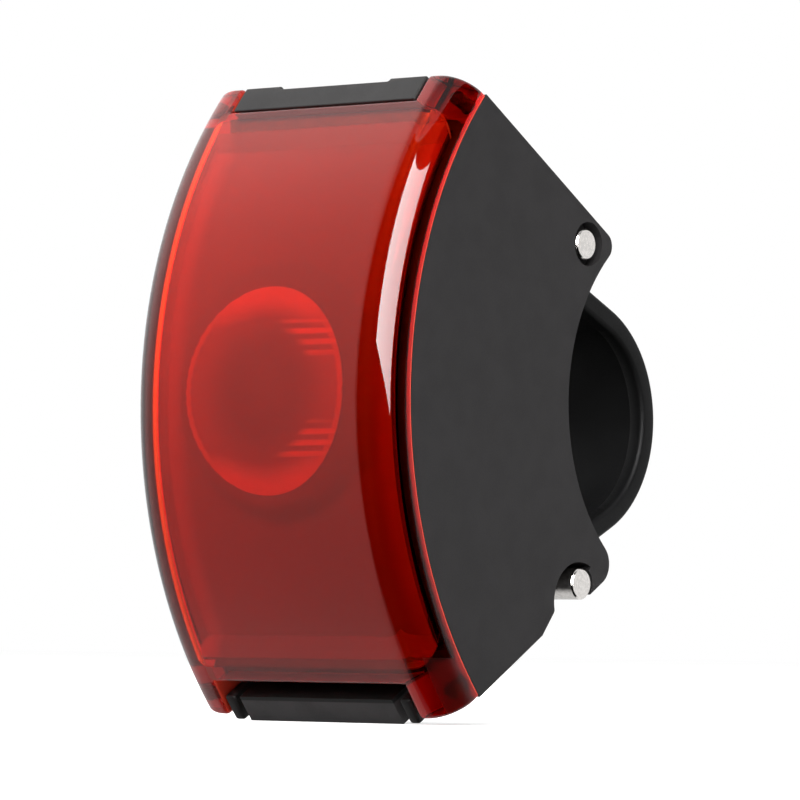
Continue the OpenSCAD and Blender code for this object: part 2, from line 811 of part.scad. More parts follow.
module switch_flex() {
    color([0.75, 0.5, 0.15]) difference() {
        flex(-board_h, -board_h / 2 + flex_lap);
        at_bottom() end_box(body_w, -far, far, switch_board_top - small_board_t, far);
    }
}

// Pocket for the seal under the cover.
module cover_pocket(gap) {
    seal_margin = 1.5;
    margin = seal_margin + gap;
    end_box(usb_w + 2 * margin, -small_board_front - gap, -small_board_back + gap,
            cover_under - over, cover_under + cover_seal_t);
}

module port_cover() {
    cover_w = top_recess_w - 2 * slide_gap;
    color([0.18, 0.17, 0.17]) difference() {
        union() {
            intersection() {
                at_top() end_box(cover_w, -far, hinge_at, cover_under, cover_over);
                lens_round(run_gap);
            }
            at_top() rod([hinge_at, hinge_above], knuckle_r, cover_w, small_fn);
        }
        at_top() {
            end_box(thumb_w, -far, on_ring(lens_r, cover_over) + thumb_len, cover_over - thumb_d, far);
            cover_pocket(seat_gap);
            rod([hinge_at, hinge_above], hinge_pin_r + run_gap, body_w, small_fn);
        }
    }
}

module cover_seal() {
    plug_gap_w = 0.5;
    plug_gap_h = 0.7;
    plug_w = usb_w - 2 * usb_sheet - 2 * plug_gap_w;
    plug_h = usb_h - 2 * usb_sheet - 2 * plug_gap_h;
    color([0.12, 0.12, 0.12]) at_top() {
        intersection() {
            cover_pocket(0);
            end_box(body_w, -far, far, cover_under, far);
        }
        end_box(plug_w, usb_at - plug_h / 2, usb_at + plug_h / 2,
                socket_mouth - plug_depth, cover_under + cover_seal_t / 2);
    }
}

module cover_pin() {
    color([0.8, 0.8, 0.8]) at_top() rod([hinge_at, hinge_above], hinge_pin_r, hinge_pin_len, small_fn);
}

module switch_board() {
    color([0.1, 0.35, 0.2]) at_bottom() small_board(switch_board_top);
}

module tact_switch() {
    plunger_spare = 0.2;
    color([0.15, 0.15, 0.15]) at_bottom() difference() {
        end_box(switch_w, stem_at - switch_w / 2, stem_at + switch_w / 2,
                switch_board_top, switch_board_top + switch_h);
        translate([0, stem_at, stem_end - 3 * button_travel - plunger_spare])
            cylinder(r = plunger_r + run_gap, h = switch_h, $fn = small_fn);
    }
}

module switch_plunger() {
    color([0.6, 0.1, 0.1]) at_bottom() translate([0, stem_at, stem_end - 2 * button_travel])
        cylinder(r = plunger_r, h = 2 * button_travel, $fn = small_fn);
}

module power_button() {
    button_back = -bottom_recess_back - bezel_bar - 2 * slide_gap;
    color([0.12, 0.12, 0.12]) {
        intersection() {
            at_bottom() end_box(button_w, -far, button_back, button_bottom, button_top);
            lens_round(drop_gap);
        }
        at_bottom() translate([0, stem_at, stem_end])
            cylinder(r = stem_r, h = button_bottom - stem_end + over / 2, $fn = small_fn);
    }
}

// A bar behind the button, with a cheek that runs forward at each end of the button.
module button_bezel() {
    bezel_w = bottom_recess_w - 2 * cheek_gap;
    bezel_back = -bottom_recess_back - drop_gap;
    bar_front = -bottom_recess_back - bezel_bar;
    color([0.14, 0.13, 0.13]) {
        at_bottom() end_box(bezel_w, bar_front, bezel_back, bottom_floor, bottom_reach);
        intersection() {
            at_bottom() difference() {
                end_box(bezel_w, -far, bezel_back, button_bottom, button_top);
                end_box(bezel_w - 2 * cheek_t, -far, far, -far, far);
            }
            lens_round(drop_gap);
        }
    }
}

module button_seal() {
    color([0.1, 0.1, 0.1]) at_bottom() translate([0, stem_at, bottom_floor]) difference() {
        cylinder(r = stem_r + ring_band, h = ring_t, $fn = small_fn);
        translate([0, 0, -over]) cylinder(r = stem_r + run_gap, h = ring_t + 2 * over, $fn = small_fn);
    }
}

// A steel bar along X with chamfered ends.
module steel_bar(at, len) {
    rod(at, bar_r, len - 2 * bar_chamfer);
    for (side = [-1, 1]) translate([side * (len / 2 - bar_chamfer), at[0], at[1]]) rotate([0, side * 90, 0])
        cylinder(r1 = bar_r, r2 = bar_r - bar_chamfer, h = bar_chamfer);
}

module upper_pin() {
    color([0.85, 0.85, 0.85]) steel_bar(pin_at, body_w - 2 * pin_sink);
}

module hook_bar() {
    color([0.85, 0.85, 0.85]) steel_bar(hook_at, body_w - drop_gap);
}

module strap() {
    color([0.13, 0.13, 0.13])
    across(strap_w) difference() {
        union() {
            intersection() {
                translate(loop_at) difference() {
                    circle(r = loop_r + strap_t);
                    circle(r = loop_r);
                }
                polygon([loop_at, loop_end(hook_leg - lap_angle), loop_at + [far, -far],
                         loop_at + [far, far], loop_end(pin_leg + lap_angle)]);
            }
            strap_legs(0);
            translate(pin_at) circle(r = eye_r);
            translate(hook_at) circle(r = eye_r);
        }
        translate(pin_at) circle(r = eye_in_r);
        translate(hook_at) circle(r = eye_in_r);
    }
}

housing();
lens();
lens_gasket();
reflector_panel();
reflector_bowl();
optic_disc();
led_emitter();
side_leds();
main_board();
driver_chips();
board_screws();
battery_cell();
battery_pad();
battery_leads();
port_board();
usb_socket();
usb_tongue();
port_flex();
port_cover();
cover_seal();
cover_pin();
switch_board();
tact_switch();
switch_plunger();
switch_flex();
power_button();
button_bezel();
button_seal();
upper_pin();
hook_bar();
strap();
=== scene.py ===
"""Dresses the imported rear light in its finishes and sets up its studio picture."""

import logging
import math
from dataclasses import dataclass, replace
from enum import Enum
from typing import Protocol

import bmesh
import bpy
from mathutils import Matrix, Vector


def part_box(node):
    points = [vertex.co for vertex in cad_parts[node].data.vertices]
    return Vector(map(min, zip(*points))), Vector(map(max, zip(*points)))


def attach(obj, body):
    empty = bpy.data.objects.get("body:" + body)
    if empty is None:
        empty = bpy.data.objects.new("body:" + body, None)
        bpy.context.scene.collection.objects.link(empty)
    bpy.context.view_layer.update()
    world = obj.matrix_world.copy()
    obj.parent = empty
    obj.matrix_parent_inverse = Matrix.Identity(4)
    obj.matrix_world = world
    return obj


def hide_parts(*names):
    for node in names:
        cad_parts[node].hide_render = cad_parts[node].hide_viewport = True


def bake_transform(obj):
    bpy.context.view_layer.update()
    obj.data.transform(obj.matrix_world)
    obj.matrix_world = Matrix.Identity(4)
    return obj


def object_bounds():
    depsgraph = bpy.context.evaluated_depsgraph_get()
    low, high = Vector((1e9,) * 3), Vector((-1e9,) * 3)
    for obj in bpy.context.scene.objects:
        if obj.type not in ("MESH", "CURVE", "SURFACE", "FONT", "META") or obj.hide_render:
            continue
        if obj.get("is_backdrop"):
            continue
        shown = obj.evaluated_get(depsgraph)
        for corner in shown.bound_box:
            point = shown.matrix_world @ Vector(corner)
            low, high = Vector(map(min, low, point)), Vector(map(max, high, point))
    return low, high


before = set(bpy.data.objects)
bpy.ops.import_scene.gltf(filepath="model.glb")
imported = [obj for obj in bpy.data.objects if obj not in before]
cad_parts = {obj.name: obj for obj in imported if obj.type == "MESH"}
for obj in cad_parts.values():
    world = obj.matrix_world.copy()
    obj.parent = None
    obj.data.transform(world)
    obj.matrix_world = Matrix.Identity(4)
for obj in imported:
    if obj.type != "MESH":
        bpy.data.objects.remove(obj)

Colour = tuple[float, float, float]
Point2 = tuple[float, float]
Socket = bpy.types.NodeSocket
Mesh = bmesh.types.BMesh
Line = list[bmesh.types.BMVert]
Edges = list[bmesh.types.BMEdge]

LOG = logging.getLogger("rear_light")
MM = 0.001
BLACK: Colour = (0.0, 0.0, 0.0)
WHITE: Colour = (1.0, 1.0, 1.0)
END_SLOPE = math.radians(32)
CREASE_ANGLE = math.radians(40)
FACE_WEIGHT = 80
WELD_GAP = 1e-6
FLAT_ANGLE = math.radians(0.4)
EDGE_ANGLE = math.radians(35)
EDGE_SEGMENTS = 3


class Axis(Enum):
    """The three directions of the shared frame. The lens faces against BACK."""

    ACROSS = "X"
    BACK = "Y"
    UP = "Z"


class Edge(float, Enum):
    """Half the width, in millimetres, over which a mark on a surface changes."""

    SHARP = 0.01
    SOFT = 0.05
    BROAD = 0.1
    WIDE = 1.0


class Shader:
    """A node material while it is being put together.

    Sizes are given in millimetres. A socket that holds a distance holds metres.
    """

    NOISE_SPAN: Point2 = (0.3, 0.7)
    DRAWN_SCALE: float = 0.04

    def __init__(self, name: str) -> None:
        """Starts a material with one Principled surface.

        Args:
            name: The material's name.
        """
        self.material = bpy.data.materials.new(name)
        self.material.use_nodes = True
        self.tree = self.material.node_tree
        self.surface = next(node for node in self.tree.nodes if node.type == "BSDF_PRINCIPLED")
        self.place = self.tree.nodes.new("ShaderNodeTexCoord").outputs["Object"]

    def feed(self, slot: Socket, value: Socket | float | Colour) -> None:
        """Gives a node's input what it reads.

        Args:
            slot: The input.
            value: An output, a number, or a colour without alpha.
        """
        if isinstance(value, Socket):
            self.tree.links.new(value, slot)
        else:
            slot.default_value = (*value, 1) if isinstance(value, tuple) else value

    def give(self, socket: str, value: Socket | float | Colour) -> None:
        """Feeds one of the surface's sockets, given by its name."""
        self.feed(self.surface.inputs[socket], value)

    def noise(self, size: float, detail: float = 3, stretch: Axis | None = None) -> Socket:
        """Makes a noise pattern fixed to the part.

        Args:
            size: Size of the pattern's grains.
            detail: Number of finer layers.
            stretch: A direction along which the grains are drawn out, if any.

        Returns:
            The pattern's value, around 0.5.
        """
        texture = self.tree.nodes.new("ShaderNodeTexNoise")
        texture.inputs["Scale"].default_value = 1 / (size * MM)
        texture.inputs["Detail"].default_value = detail
        source = self.place
        if stretch:
            mapping = self.tree.nodes.new("ShaderNodeMapping")
            mapping.inputs["Scale"].default_value[list(Axis).index(stretch)] = self.DRAWN_SCALE
            self.tree.links.new(source, mapping.inputs["Vector"])
            source = mapping.outputs["Vector"]
        self.tree.links.new(source, texture.inputs["Vector"])
        return texture.outputs["Fac"]

    def apart(self) -> dict[Axis, Socket]:
        """Returns the three coordinates of the shaded point."""
        split = self.tree.nodes.new("ShaderNodeSeparateXYZ")
        self.tree.links.new(self.place, split.inputs["Vector"])
        return {axis: split.outputs[axis.value] for axis in Axis}

    def sum(self, operation: str, first: Socket | float, second: Socket | float = 0) -> Socket:
        """Does one step of arithmetic.

        Args:
            operation: The Math node's operation.
            first: First number or socket.
            second: Second number or socket.

        Returns:
            The result.
        """
        node = self.tree.nodes.new("ShaderNodeMath")
        node.operation = operation
        for slot, value in zip(node.inputs, (first, second)):
            self.feed(slot, value)
        return node.outputs["Value"]

    def plus(self, first: Socket | float, second: Socket | float) -> Socket:
        """Returns two values added."""
        return self.sum("ADD", first, second)

    def minus(self, first: Socket | float, second: Socket | float) -> Socket:
        """Returns the first value less the second."""
        return self.sum("SUBTRACT", first, second)

    def times(self, first: Socket | float, second: Socket | float) -> Socket:
        """Returns two values multiplied."""
        return self.sum("MULTIPLY", first, second)

    def absolute(self, value: Socket) -> Socket:
        """Returns a value without its sign."""
        return self.sum("ABSOLUTE", value)

    def distance(self, first: Socket, second: Socket) -> Socket:
        """Returns the length of a step given by its two parts, which stand square to each other."""
        return self.sum("SQRT", self.plus(self.sum("POWER", first, 2), self.sum("POWER", second, 2)))

    def every(self, *marks: Socket) -> Socket:
        """Returns the product of some marks, which is 1 where each of them is."""
        total = marks[0]
        for mark in marks[1:]:
            total = self.times(total, mark)
        return total

    def either(self, *marks: Socket) -> Socket:
        """Returns the largest of some marks, which is 1 where any of them is."""
        total = marks[0]
        for mark in marks[1:]:
            total = self.sum("MAXIMUM", total, mark)
        return total

    def ramp(self, source: Socket, start: float, end: float, low: float = 0, high: float = 1) -> Socket:
        """Maps a range of a value smoothly onto another.

        Args:
            source: The value to map.
            start: Value that gives low.
            end: Value that gives high.
            low: Result at the start and before it.
            high: Result at the end and after it.

        Returns:
            The mapped value.
        """
        node = self.tree.nodes.new("ShaderNodeMapRange")
        node.interpolation_type = "SMOOTHSTEP"
        for name, value in (("From Min", start), ("From Max", end), ("To Min", low), ("To Max", high)):
            node.inputs[name].default_value = value
        self.tree.links.new(source, node.inputs["Value"])
        return node.outputs["Result"]

    def fade(self, distance: Socket, start: float, end: float, low: float = 0, high: float = 1) -> Socket:
        """Returns a ramp over a distance, with its start and end in millimetres."""
        return self.ramp(distance, start * MM, end * MM, low, high)

    def beyond(self, distance: Socket, at: float, soft: float = Edge.SHARP) -> Socket:
        """Returns 1 where a distance is longer than a length, 0 elsewhere."""
        return self.fade(distance, at - soft, at + soft)

    def within(self, distance: Socket, at: float, soft: float = Edge.SHARP) -> Socket:
        """Returns 1 where a distance is shorter than a length, 0 elsewhere."""
        return self.fade(distance, at - soft, at + soft, 1, 0)

    def near(self, first: Socket, second: Socket, gap: float) -> Socket:
        """Returns 1 where two distances differ by less than a gap, 0 elsewhere."""
        return self.within(self.absolute(self.minus(first, second)), gap)

    def spread(self, noise: Socket, low: float = 0, high: float = 1) -> Socket:
        """Returns the middle part of a noise mapped onto a range."""
        return self.ramp(noise, *self.NOISE_SPAN, low, high)

    def mix(self, factor: Socket, low: Socket | Colour, high: Socket | Colour) -> Socket:
        """Mixes two colours, each plain or changing over the surface.

        Args:
            factor: Share of the second colour.
            low: Colour at a factor of 0.
            high: Colour at a factor of 1.

        Returns:
            The mixed colour.
        """
        node = self.tree.nodes.new("ShaderNodeMixRGB")
        for name, value in (("Fac", factor), ("Color1", low), ("Color2", high)):
            self.feed(node.inputs[name], value)
        return node.outputs["Color"]

    def mottle(self, noise: Socket, colour: Colour, darker: float, lighter: float) -> Socket:
        """Makes a colour change with a noise.

        Args:
            noise: The noise.
            colour: The colour.
            darker: Factor on the colour where the noise is low.
            lighter: Factor on the colour where the noise is high.

        Returns:
            The changing colour.
        """
        return self.mix(self.spread(noise), shade(colour, darker), shade(colour, lighter))

    def roughen(self, noise: Socket, roughness: float, change: float) -> None:
        """Gives the surface a roughness that changes with a noise.

        Args:
            noise: The noise.
            roughness: The roughness in the middle.
            change: The most by which it changes either way.
        """
        self.give("Roughness", self.spread(noise, roughness - change, roughness + change))

    def bump(self, height: Socket, depth: float, off_post: bool = False) -> None:
        """Gives the surface a fine relief.

        Args:
            height: Relief from 0 to 1.
            depth: Depth of the relief.
            off_post: Shades the surface as if all of it faced straight away from the post's axis.
        """
        node = self.tree.nodes.new("ShaderNodeBump")
        node.inputs["Distance"].default_value = depth * MM
        self.tree.links.new(height, node.inputs["Height"])
        if off_post:
            self.tree.links.new(self.off_post(), node.inputs["Normal"])
        self.give("Normal", node.outputs["Normal"])

    def off_post(self) -> Socket:
        """Finds the way straight off the post.

        Returns:
            The direction away from the post's axis at the shaded point.
        """
        at = self.apart()
        away = self.tree.nodes.new("ShaderNodeCombineXYZ")
        for axis in (Axis.BACK, Axis.UP):
            self.tree.links.new(at[axis], away.inputs[axis.value])
        facing = self.tree.nodes.new("ShaderNodeVectorMath")
        facing.operation = "NORMALIZE"
        self.tree.links.new(away.outputs["Vector"], facing.inputs[0])
        return facing.outputs["Vector"]

    def absorb(self, colour: Colour, density: float) -> None:
        """Lets the body of a clear plastic take up light.

        Args:
            colour: Colour that passes best.
            density: Strength of the absorption per metre.
        """
        node = self.tree.nodes.new("ShaderNodeVolumeAbsorption")
        self.feed(node.inputs["Color"], colour)
        self.feed(node.inputs["Density"], density)
        output = next(found for found in self.tree.nodes if found.type == "OUTPUT_MATERIAL")
        self.tree.links.new(node.outputs["Volume"], output.inputs["Volume"])


def shade(colour: Colour, factor: float) -> Colour:
    """Returns a colour darkened by a factor below 1, or lightened by one above 1."""
    red, green, blue = (min(1.0, channel * factor) for channel in colour)
    return (red, green, blue)


def above_end(shader: Shader) -> Socket:
    """Measures the shaded point's height above the nearer end's plane through the post's axis.

    Args:
        shader: The material being built.

    Returns:
        The height.
    """
    at = shader.apart()
    along = shader.times(at[Axis.BACK], math.sin(END_SLOPE))
    return shader.plus(along, shader.times(shader.absolute(at[Axis.UP]), math.cos(END_SLOPE)))


class Finish(Protocol):
    """Anything that a piece can be dressed in."""

    def material(self) -> bpy.types.Material:
        """Builds the finish as a node material and returns it."""


@dataclass(frozen=True)
class MouldedFinish:
    """A moulded plastic, rubber, foam or lacquer with a fine grain and slight mottling."""

    name: str
    colour: Colour
    roughness: float
    grain: float = 0.12
    depth: float = 0.004
    mottle: float = 0.15
    specular: float = 0.5
    grains_per_cloud: float = 20
    roughness_change: float = 0.05

    def material(self) -> bpy.types.Material:
        """Builds the finish as a node material and returns it."""
        shader = Shader(self.name)
        cloud = shader.noise(self.grains_per_cloud * self.grain, detail=4)
        colour = shader.mottle(cloud, self.colour, 1 - self.mottle, 1 + self.mottle)
        shader.give("Base Color", self.tint(shader, colour))
        grain = shader.noise(self.grain)
        shader.roughen(grain, self.roughness, self.roughness_change)
        shader.give("Specular IOR Level", self.specular)
        shader.bump(grain, self.depth)
        return shader.material

    def tint(self, shader: Shader, colour: Socket) -> Socket:
        """Returns the colour as it is; kinds of this finish may change it in places."""
        return colour


@dataclass(frozen=True)
class ButtonFinish(MouldedFinish):
    """The button's plastic, with painted shade, near black, on its face towards the lens, which lies in a
    narrow slot.
    """

    recess_shade_colour: Colour = (0.003, 0.003, 0.003)
    recess_shade_to: float = 4.25

    def tint(self, shader: Shader, colour: Socket) -> Socket:
        """Returns the colour with painted shade on the face towards the lens."""
        # Painted shade: the face towards the lens is made near black, as the lens above shades it.
        inner = shader.within(above_end(shader), self.recess_shade_to, Edge.SOFT)
        return shader.mix(inner, colour, self.recess_shade_colour)


@dataclass(frozen=True)
class SheetFinish:
    """A metal sheet, foil or plating with fine drawn lines."""

    name: str
    colour: Colour
    roughness: float
    lines: float = 0.05
    depth: float = 0.001
    drawn: Axis = Axis.ACROSS
    darker: float = 0.9
    lighter: float = 1.05
    roughness_share: float = 0.2

    def material(self) -> bpy.types.Material:
        """Builds the finish as a node material and returns it."""
        shader = Shader(self.name)
        lines = shader.noise(self.lines, stretch=self.drawn)
        shader.give("Base Color", shader.mottle(lines, self.colour, self.darker, self.lighter))
        shader.roughen(lines, self.roughness, self.roughness_share * self.roughness)
        shader.give("Metallic", 1.0)
        shader.bump(lines, self.depth)
        return shader.material


@dataclass(frozen=True)
class TurnedSteelFinish:
    """A turned bar along X: rings on its end faces and fine wear all over."""

    name: str
    axis: Point2
    colour: Colour = (0.88, 0.85, 0.82)
    roughness: float = 0.2
    pitch: float = 0.28
    depth: float = 0.006
    wear: float = 0.3
    ring_share: float = 0.5
    darker: float = 0.88
    lighter: float = 1.05
    roughness_share: float = 0.3

    def material(self) -> bpy.types.Material:
        """Builds the finish as a node material and returns it."""
        shader = Shader(self.name)
        at = shader.apart()
        aside = shader.minus(at[Axis.BACK], self.axis[0])
        above = shader.minus(at[Axis.UP], self.axis[1])
        turns = shader.times(shader.distance(aside, above), math.tau / (self.pitch * MM))
        wear = shader.noise(self.wear)
        shader.give("Base Color", shader.mottle(wear, self.colour, self.darker, self.lighter))
        shader.roughen(wear, self.roughness, self.roughness_share * self.roughness)
        shader.give("Metallic", 1.0)
        ring = shader.times(shader.sum("SINE", turns), self.ring_share)
        shader.bump(shader.plus(ring, wear), self.depth)
        return shader.material


@dataclass(frozen=True)
class LensEnd:
    """One end of the lens: a notch between two ears, on a sloping end face.

    Heights are above the end's plane, which leans by the end's slope and runs through the post's axis.
    """

    side: int
    reach: float
    floor: float
    notch_half_w: float
    hollow: float
    hollow_foot: float
    peg_above: float


@dataclass(frozen=True)
class LensShape:
    """Sizes of the lens in millimetres. It is turned about an axis a little below the post's."""

    half_w: float = 13.3
    radius: float = 38.75
    drop: float = 0.45
    corner: float = 2.85
    wall: float = 1.6
    seam_r: float = 35.63
    foot_r: float = 35.42
    side_lean: float = 0.5
    rim_r: float = 0.4
    peg_x: float = 11.95
    peg_r: float = 0.65
    peg_top: float = 36.65
    bottom: LensEnd = LensEnd(
        side=-1, reach=5.8, floor=2.5, notch_half_w=9.8, hollow=1.5, hollow_foot=-0.2, peg_above=4.2
    )
    top: LensEnd = LensEnd(
        side=1, reach=5.5, floor=2.9, notch_half_w=9.5, hollow=2.5, hollow_foot=0.4, peg_above=3.9
    )


@dataclass(frozen=True)
class LensPlace:
    """Where a shaded point of the lens lies.

    It has its place across with and without its sign, its height above the post's axis and the lens's axis,
    its distance from these two as reach and radius, and its height above the nearer end's plane.
    """

    across: Socket
    aside: Socket
    up: Socket
    height: Socket
    radius: Socket
    reach: Socket
    above: Socket


@dataclass(frozen=True)
class LensFinish:
    """Red clear plastic: satin over the front, polished at its corners, backed where it meets other pieces,
    with a painted glow on some backed faces and a pale painted light on the hollow's walls.

    Lengths are in millimetres. The hollow's highs are for the bottom end and the top end, the ears' painted
    glows for the left and the right.
    """

    name: str = "lens_red"
    shape: LensShape = LensShape()
    clear_colour: Colour = (0.93, 0.06, 0.04)
    satin_colour: Colour = (0.95, 0.16, 0.14)
    bond_colour: Colour = (0.02, 0.004, 0.003)
    painted_glow_colour: Colour = (1.0, 0.08, 0.04)
    shaded_pale: Colour = (0.2, 0.19, 0.19)
    lit_pale: Colour = (0.28, 0.27, 0.26)
    left_light_colour: Colour = (0.5, 0.48, 0.46)
    body_colour: Colour = (0.93, 0.75, 0.3)
    body_density: float = 1200
    index: float = 1.49
    satin_half_w: float = 10.825
    satin_shift: float = -0.475
    satin_flare: float = 0.02
    satin_edge: float = 0.06
    satin_roughness: float = 0.14
    satin_haze: float = 0.07
    polished_roughness: float = 0.03
    side_from: float = 13.28
    side_roughness: float = 0.5
    ear_roughness: float = 0.3
    outer_from: float = 38.2
    seam_to: float = 35.7
    rim_from: float = 12.4
    ear_height: float = 20.5
    ear_half_w: float = 9.9
    painted_ear_glows: Point2 = (0.7, 0.2)
    hollow_highs: Point2 = (37.39, 36.9)
    ceiling_shade_line: float = 0.6
    line_edge: float = 0.02
    end_gap: float = 0.12
    ceiling_gap: float = 0.02
    left_light_span: Point2 = (-11.2, -9.0)
    side_span: Point2 = (11.1, 11.78)
    side_to: float = 36.0
    floor_gap: float = 0.08
    painted_notch_glow: float = 0.5
    cheek_from: float = 0.2
    cheek_gap: float = 0.1
    painted_cheek_glow: float = 0.45
    peg_r: float = 0.72
    peg_to: float = 37.1
    grain: float = 0.14
    grain_depth: float = 0.003

    def material(self) -> bpy.types.Material:
        """Builds the finish as a node material and returns it."""
        shader = Shader(self.name)
        place = self.locate(shader)
        satin = self.satin(shader, place)
        ears = self.ears(shader, place)
        backed, backing = self.backing(shader, place, ears)
        clear = shader.mix(satin, self.clear_colour, self.satin_colour)
        shader.give("Base Color", shader.mix(backed, clear, backing))
        side = shader.beyond(place.aside, self.side_from, Edge.SOFT)
        polish = shader.ramp(side, 0, 1, self.polished_roughness, self.side_roughness)
        low = shader.fade(place.up, -Edge.WIDE, Edge.WIDE, self.ear_roughness, 0)
        frosted = shader.every(ears, shader.within(place.radius, self.outer_from, Edge.BROAD), low)
        shader.give("Roughness", shader.either(polish, shader.times(satin, self.satin_roughness), frosted))
        solid = shader.either(backed, shader.times(satin, self.satin_haze))
        shader.give("Transmission Weight", shader.minus(1.0, solid))
        shader.give("IOR", self.index)
        shader.bump(shader.every(shader.noise(self.grain), satin), self.grain_depth)
        shader.absorb(self.body_colour, self.body_density)
        return shader.material

    def locate(self, shader: Shader) -> LensPlace:
        """Measures where the shaded point lies.

        Args:
            shader: The material being built.

        Returns:
            The point's place.
        """
        at = shader.apart()
        height = shader.plus(at[Axis.UP], self.shape.drop * MM)
        return LensPlace(
            across=at[Axis.ACROSS],
            aside=shader.absolute(at[Axis.ACROSS]),
            up=at[Axis.UP],
            height=height,
            radius=shader.distance(at[Axis.BACK], height),
            reach=shader.distance(at[Axis.BACK], at[Axis.UP]),
            above=above_end(shader),
        )

    def by_end(self, shader: Shader, place: LensPlace, bottom: float, top: float) -> Socket:
        """Returns one length below the lens's middle and another above it, as a distance."""
        return shader.fade(place.up, -Edge.WIDE, Edge.WIDE, bottom * MM, top * MM)

    def satin(self, shader: Shader, place: LensPlace) -> Socket:
        """Marks the satin field on the lens's front, a little wider towards its ends.

        Args:
            shader: The material being built.
            place: Where the shaded point lies.

        Returns:
            1 in the field, 0 elsewhere.
        """
        flare = shader.times(shader.absolute(place.height), self.satin_flare)
        aside = shader.absolute(shader.minus(place.across, self.satin_shift * MM))
        inside = shader.within(shader.minus(aside, flare), self.satin_half_w, self.satin_edge)
        return shader.every(inside, shader.beyond(place.radius, self.outer_from, Edge.BROAD))

    def ears(self, shader: Shader, place: LensPlace) -> Socket:
        """Returns 1 in the lens's four ears, 0 elsewhere."""
        beyond = shader.beyond(shader.absolute(place.up), self.ear_height, Edge.SOFT)
        return shader.every(beyond, shader.beyond(place.aside, self.ear_half_w, Edge.BROAD))

    def backing(self, shader: Shader, place: LensPlace, ears: Socket) -> tuple[Socket, Socket]:
        """Marks the faces with something behind them: the seam, the notches' walls and the hollow's rim.

        Args:
            shader: The material being built.
            place: Where the shaded point lies.
            ears: The ears' mark.

        Returns:
            1 on those faces and 0 elsewhere, and their colour: the dark bond, a painted glow and a pale
            painted light.
        """
        floors, cheeks = self.notches(shader, place)
        pegs = self.pegs(shader, place)
        # Painted glow: bright red on the seam's right edge, on the ears (more on the left than the right),
        # and on the notches' floors and cheeks, standing in for light that comes through the lens.
        glow = shader.either(
            shader.beyond(place.across, self.rim_from, Edge.BROAD),
            shader.every(ears, shader.fade(place.across, -Edge.WIDE, Edge.WIDE, *self.painted_ear_glows)),
            shader.times(floors, self.painted_notch_glow),
            shader.times(cheeks, self.painted_cheek_glow),
        )
        dark = shader.mix(pegs, shader.mix(glow, self.bond_colour, self.painted_glow_colour), self.bond_colour)
        left = shader.minus(self.by_end(shader, place, *self.hollow_highs), place.reach)
        ends = self.hollow_ends(shader, place, left)
        sides = self.hollow_sides(shader, place)
        # Painted light on the hollow's walls: pale, darker on the lower half, and lighter still on the left,
        # where light comes in through the lens's left side.
        border = shader.fade(place.across, *self.left_light_span, 1, 0)
        pale = shader.mix(shader.beyond(place.up, 0, Edge.WIDE), self.shaded_pale, self.lit_pale)
        pale = shader.mix(border, pale, self.left_light_colour)
        # Painted shade: along the hollow's ceiling the end faces keep the dark colour, as a dark line.
        lit_ends = shader.every(ends, shader.beyond(left, self.ceiling_shade_line, self.line_edge))
        shown = shader.either(lit_ends, shader.every(sides, border))
        seam = shader.within(place.reach, self.seam_to)
        backed = shader.either(seam, ends, sides, floors, cheeks, pegs)
        return backed, shader.mix(shown, dark, pale)

    def notches(self, shader: Shader, place: LensPlace) -> tuple[Socket, Socket]:
        """Marks the walls of the two notches.

        Args:
            shader: The material being built.
            place: Where the shaded point lies.

        Returns:
            1 on their floors and 0 elsewhere, and the same for their cheeks.
        """
        bottom, top = self.shape.bottom, self.shape.top
        floor = self.by_end(shader, place, bottom.floor, top.floor)
        half_w = self.by_end(shader, place, bottom.notch_half_w, top.notch_half_w)
        inside = shader.within(place.aside, min(bottom.notch_half_w, top.notch_half_w))
        floors = shader.every(shader.near(place.above, floor, self.floor_gap), inside)
        beyond = shader.beyond(shader.minus(place.above, floor), self.cheek_from, Edge.SOFT)
        return floors, shader.every(shader.near(place.aside, half_w, self.cheek_gap), beyond)

    def pegs(self, shader: Shader, place: LensPlace) -> Socket:
        """Marks the holes for the housing's pegs.

        Args:
            shader: The material being built.
            place: Where the shaded point lies.

        Returns:
            1 on the holes' walls, 0 elsewhere.
        """
        peg_above = self.by_end(shader, place, self.shape.bottom.peg_above, self.shape.top.peg_above)
        aside = shader.minus(place.aside, self.shape.peg_x * MM)
        off_peg = shader.distance(aside, shader.minus(place.above, peg_above))
        return shader.every(shader.within(off_peg, self.peg_r), shader.within(place.reach, self.peg_to))

    def hollow_ends(self, shader: Shader, place: LensPlace, left: Socket) -> Socket:
        """Marks the leaning end faces of the hollow behind the lens's front.

        Args:
            shader: The material being built.
            place: Where the shaded point lies.
            left: How far it lies below the hollow's ceiling.

        Returns:
            1 on the end faces, 0 elsewhere.
        """
        bottom, top = self.shape.bottom, self.shape.top
        depth = shader.minus(self.by_end(shader, place, *self.hollow_highs), self.shape.foot_r * MM)
        share = shader.minus(1.0, shader.sum("DIVIDE", left, depth))
        leans = self.by_end(shader, place, bottom.hollow - bottom.hollow_foot, top.hollow - top.hollow_foot)
        foot = self.by_end(shader, place, bottom.hollow_foot, top.hollow_foot)
        expected = shader.plus(foot, shader.times(share, leans))
        inside = shader.within(place.aside, self.side_span[1])
        below = shader.beyond(left, -self.ceiling_gap)
        return shader.every(shader.near(place.above, expected, self.end_gap), inside, below)

    def hollow_sides(self, shader: Shader, place: LensPlace) -> Socket:
        """Marks the leaning feet of the hollow's two sides.

        Args:
            shader: The material being built.
            place: Where the shaded point lies.

        Returns:
            1 on the feet, 0 elsewhere.
        """
        start, end = self.side_span
        between = shader.every(shader.beyond(place.aside, start), shader.within(place.aside, end))
        return shader.every(between, shader.within(place.reach, self.side_to, Edge.SOFT))


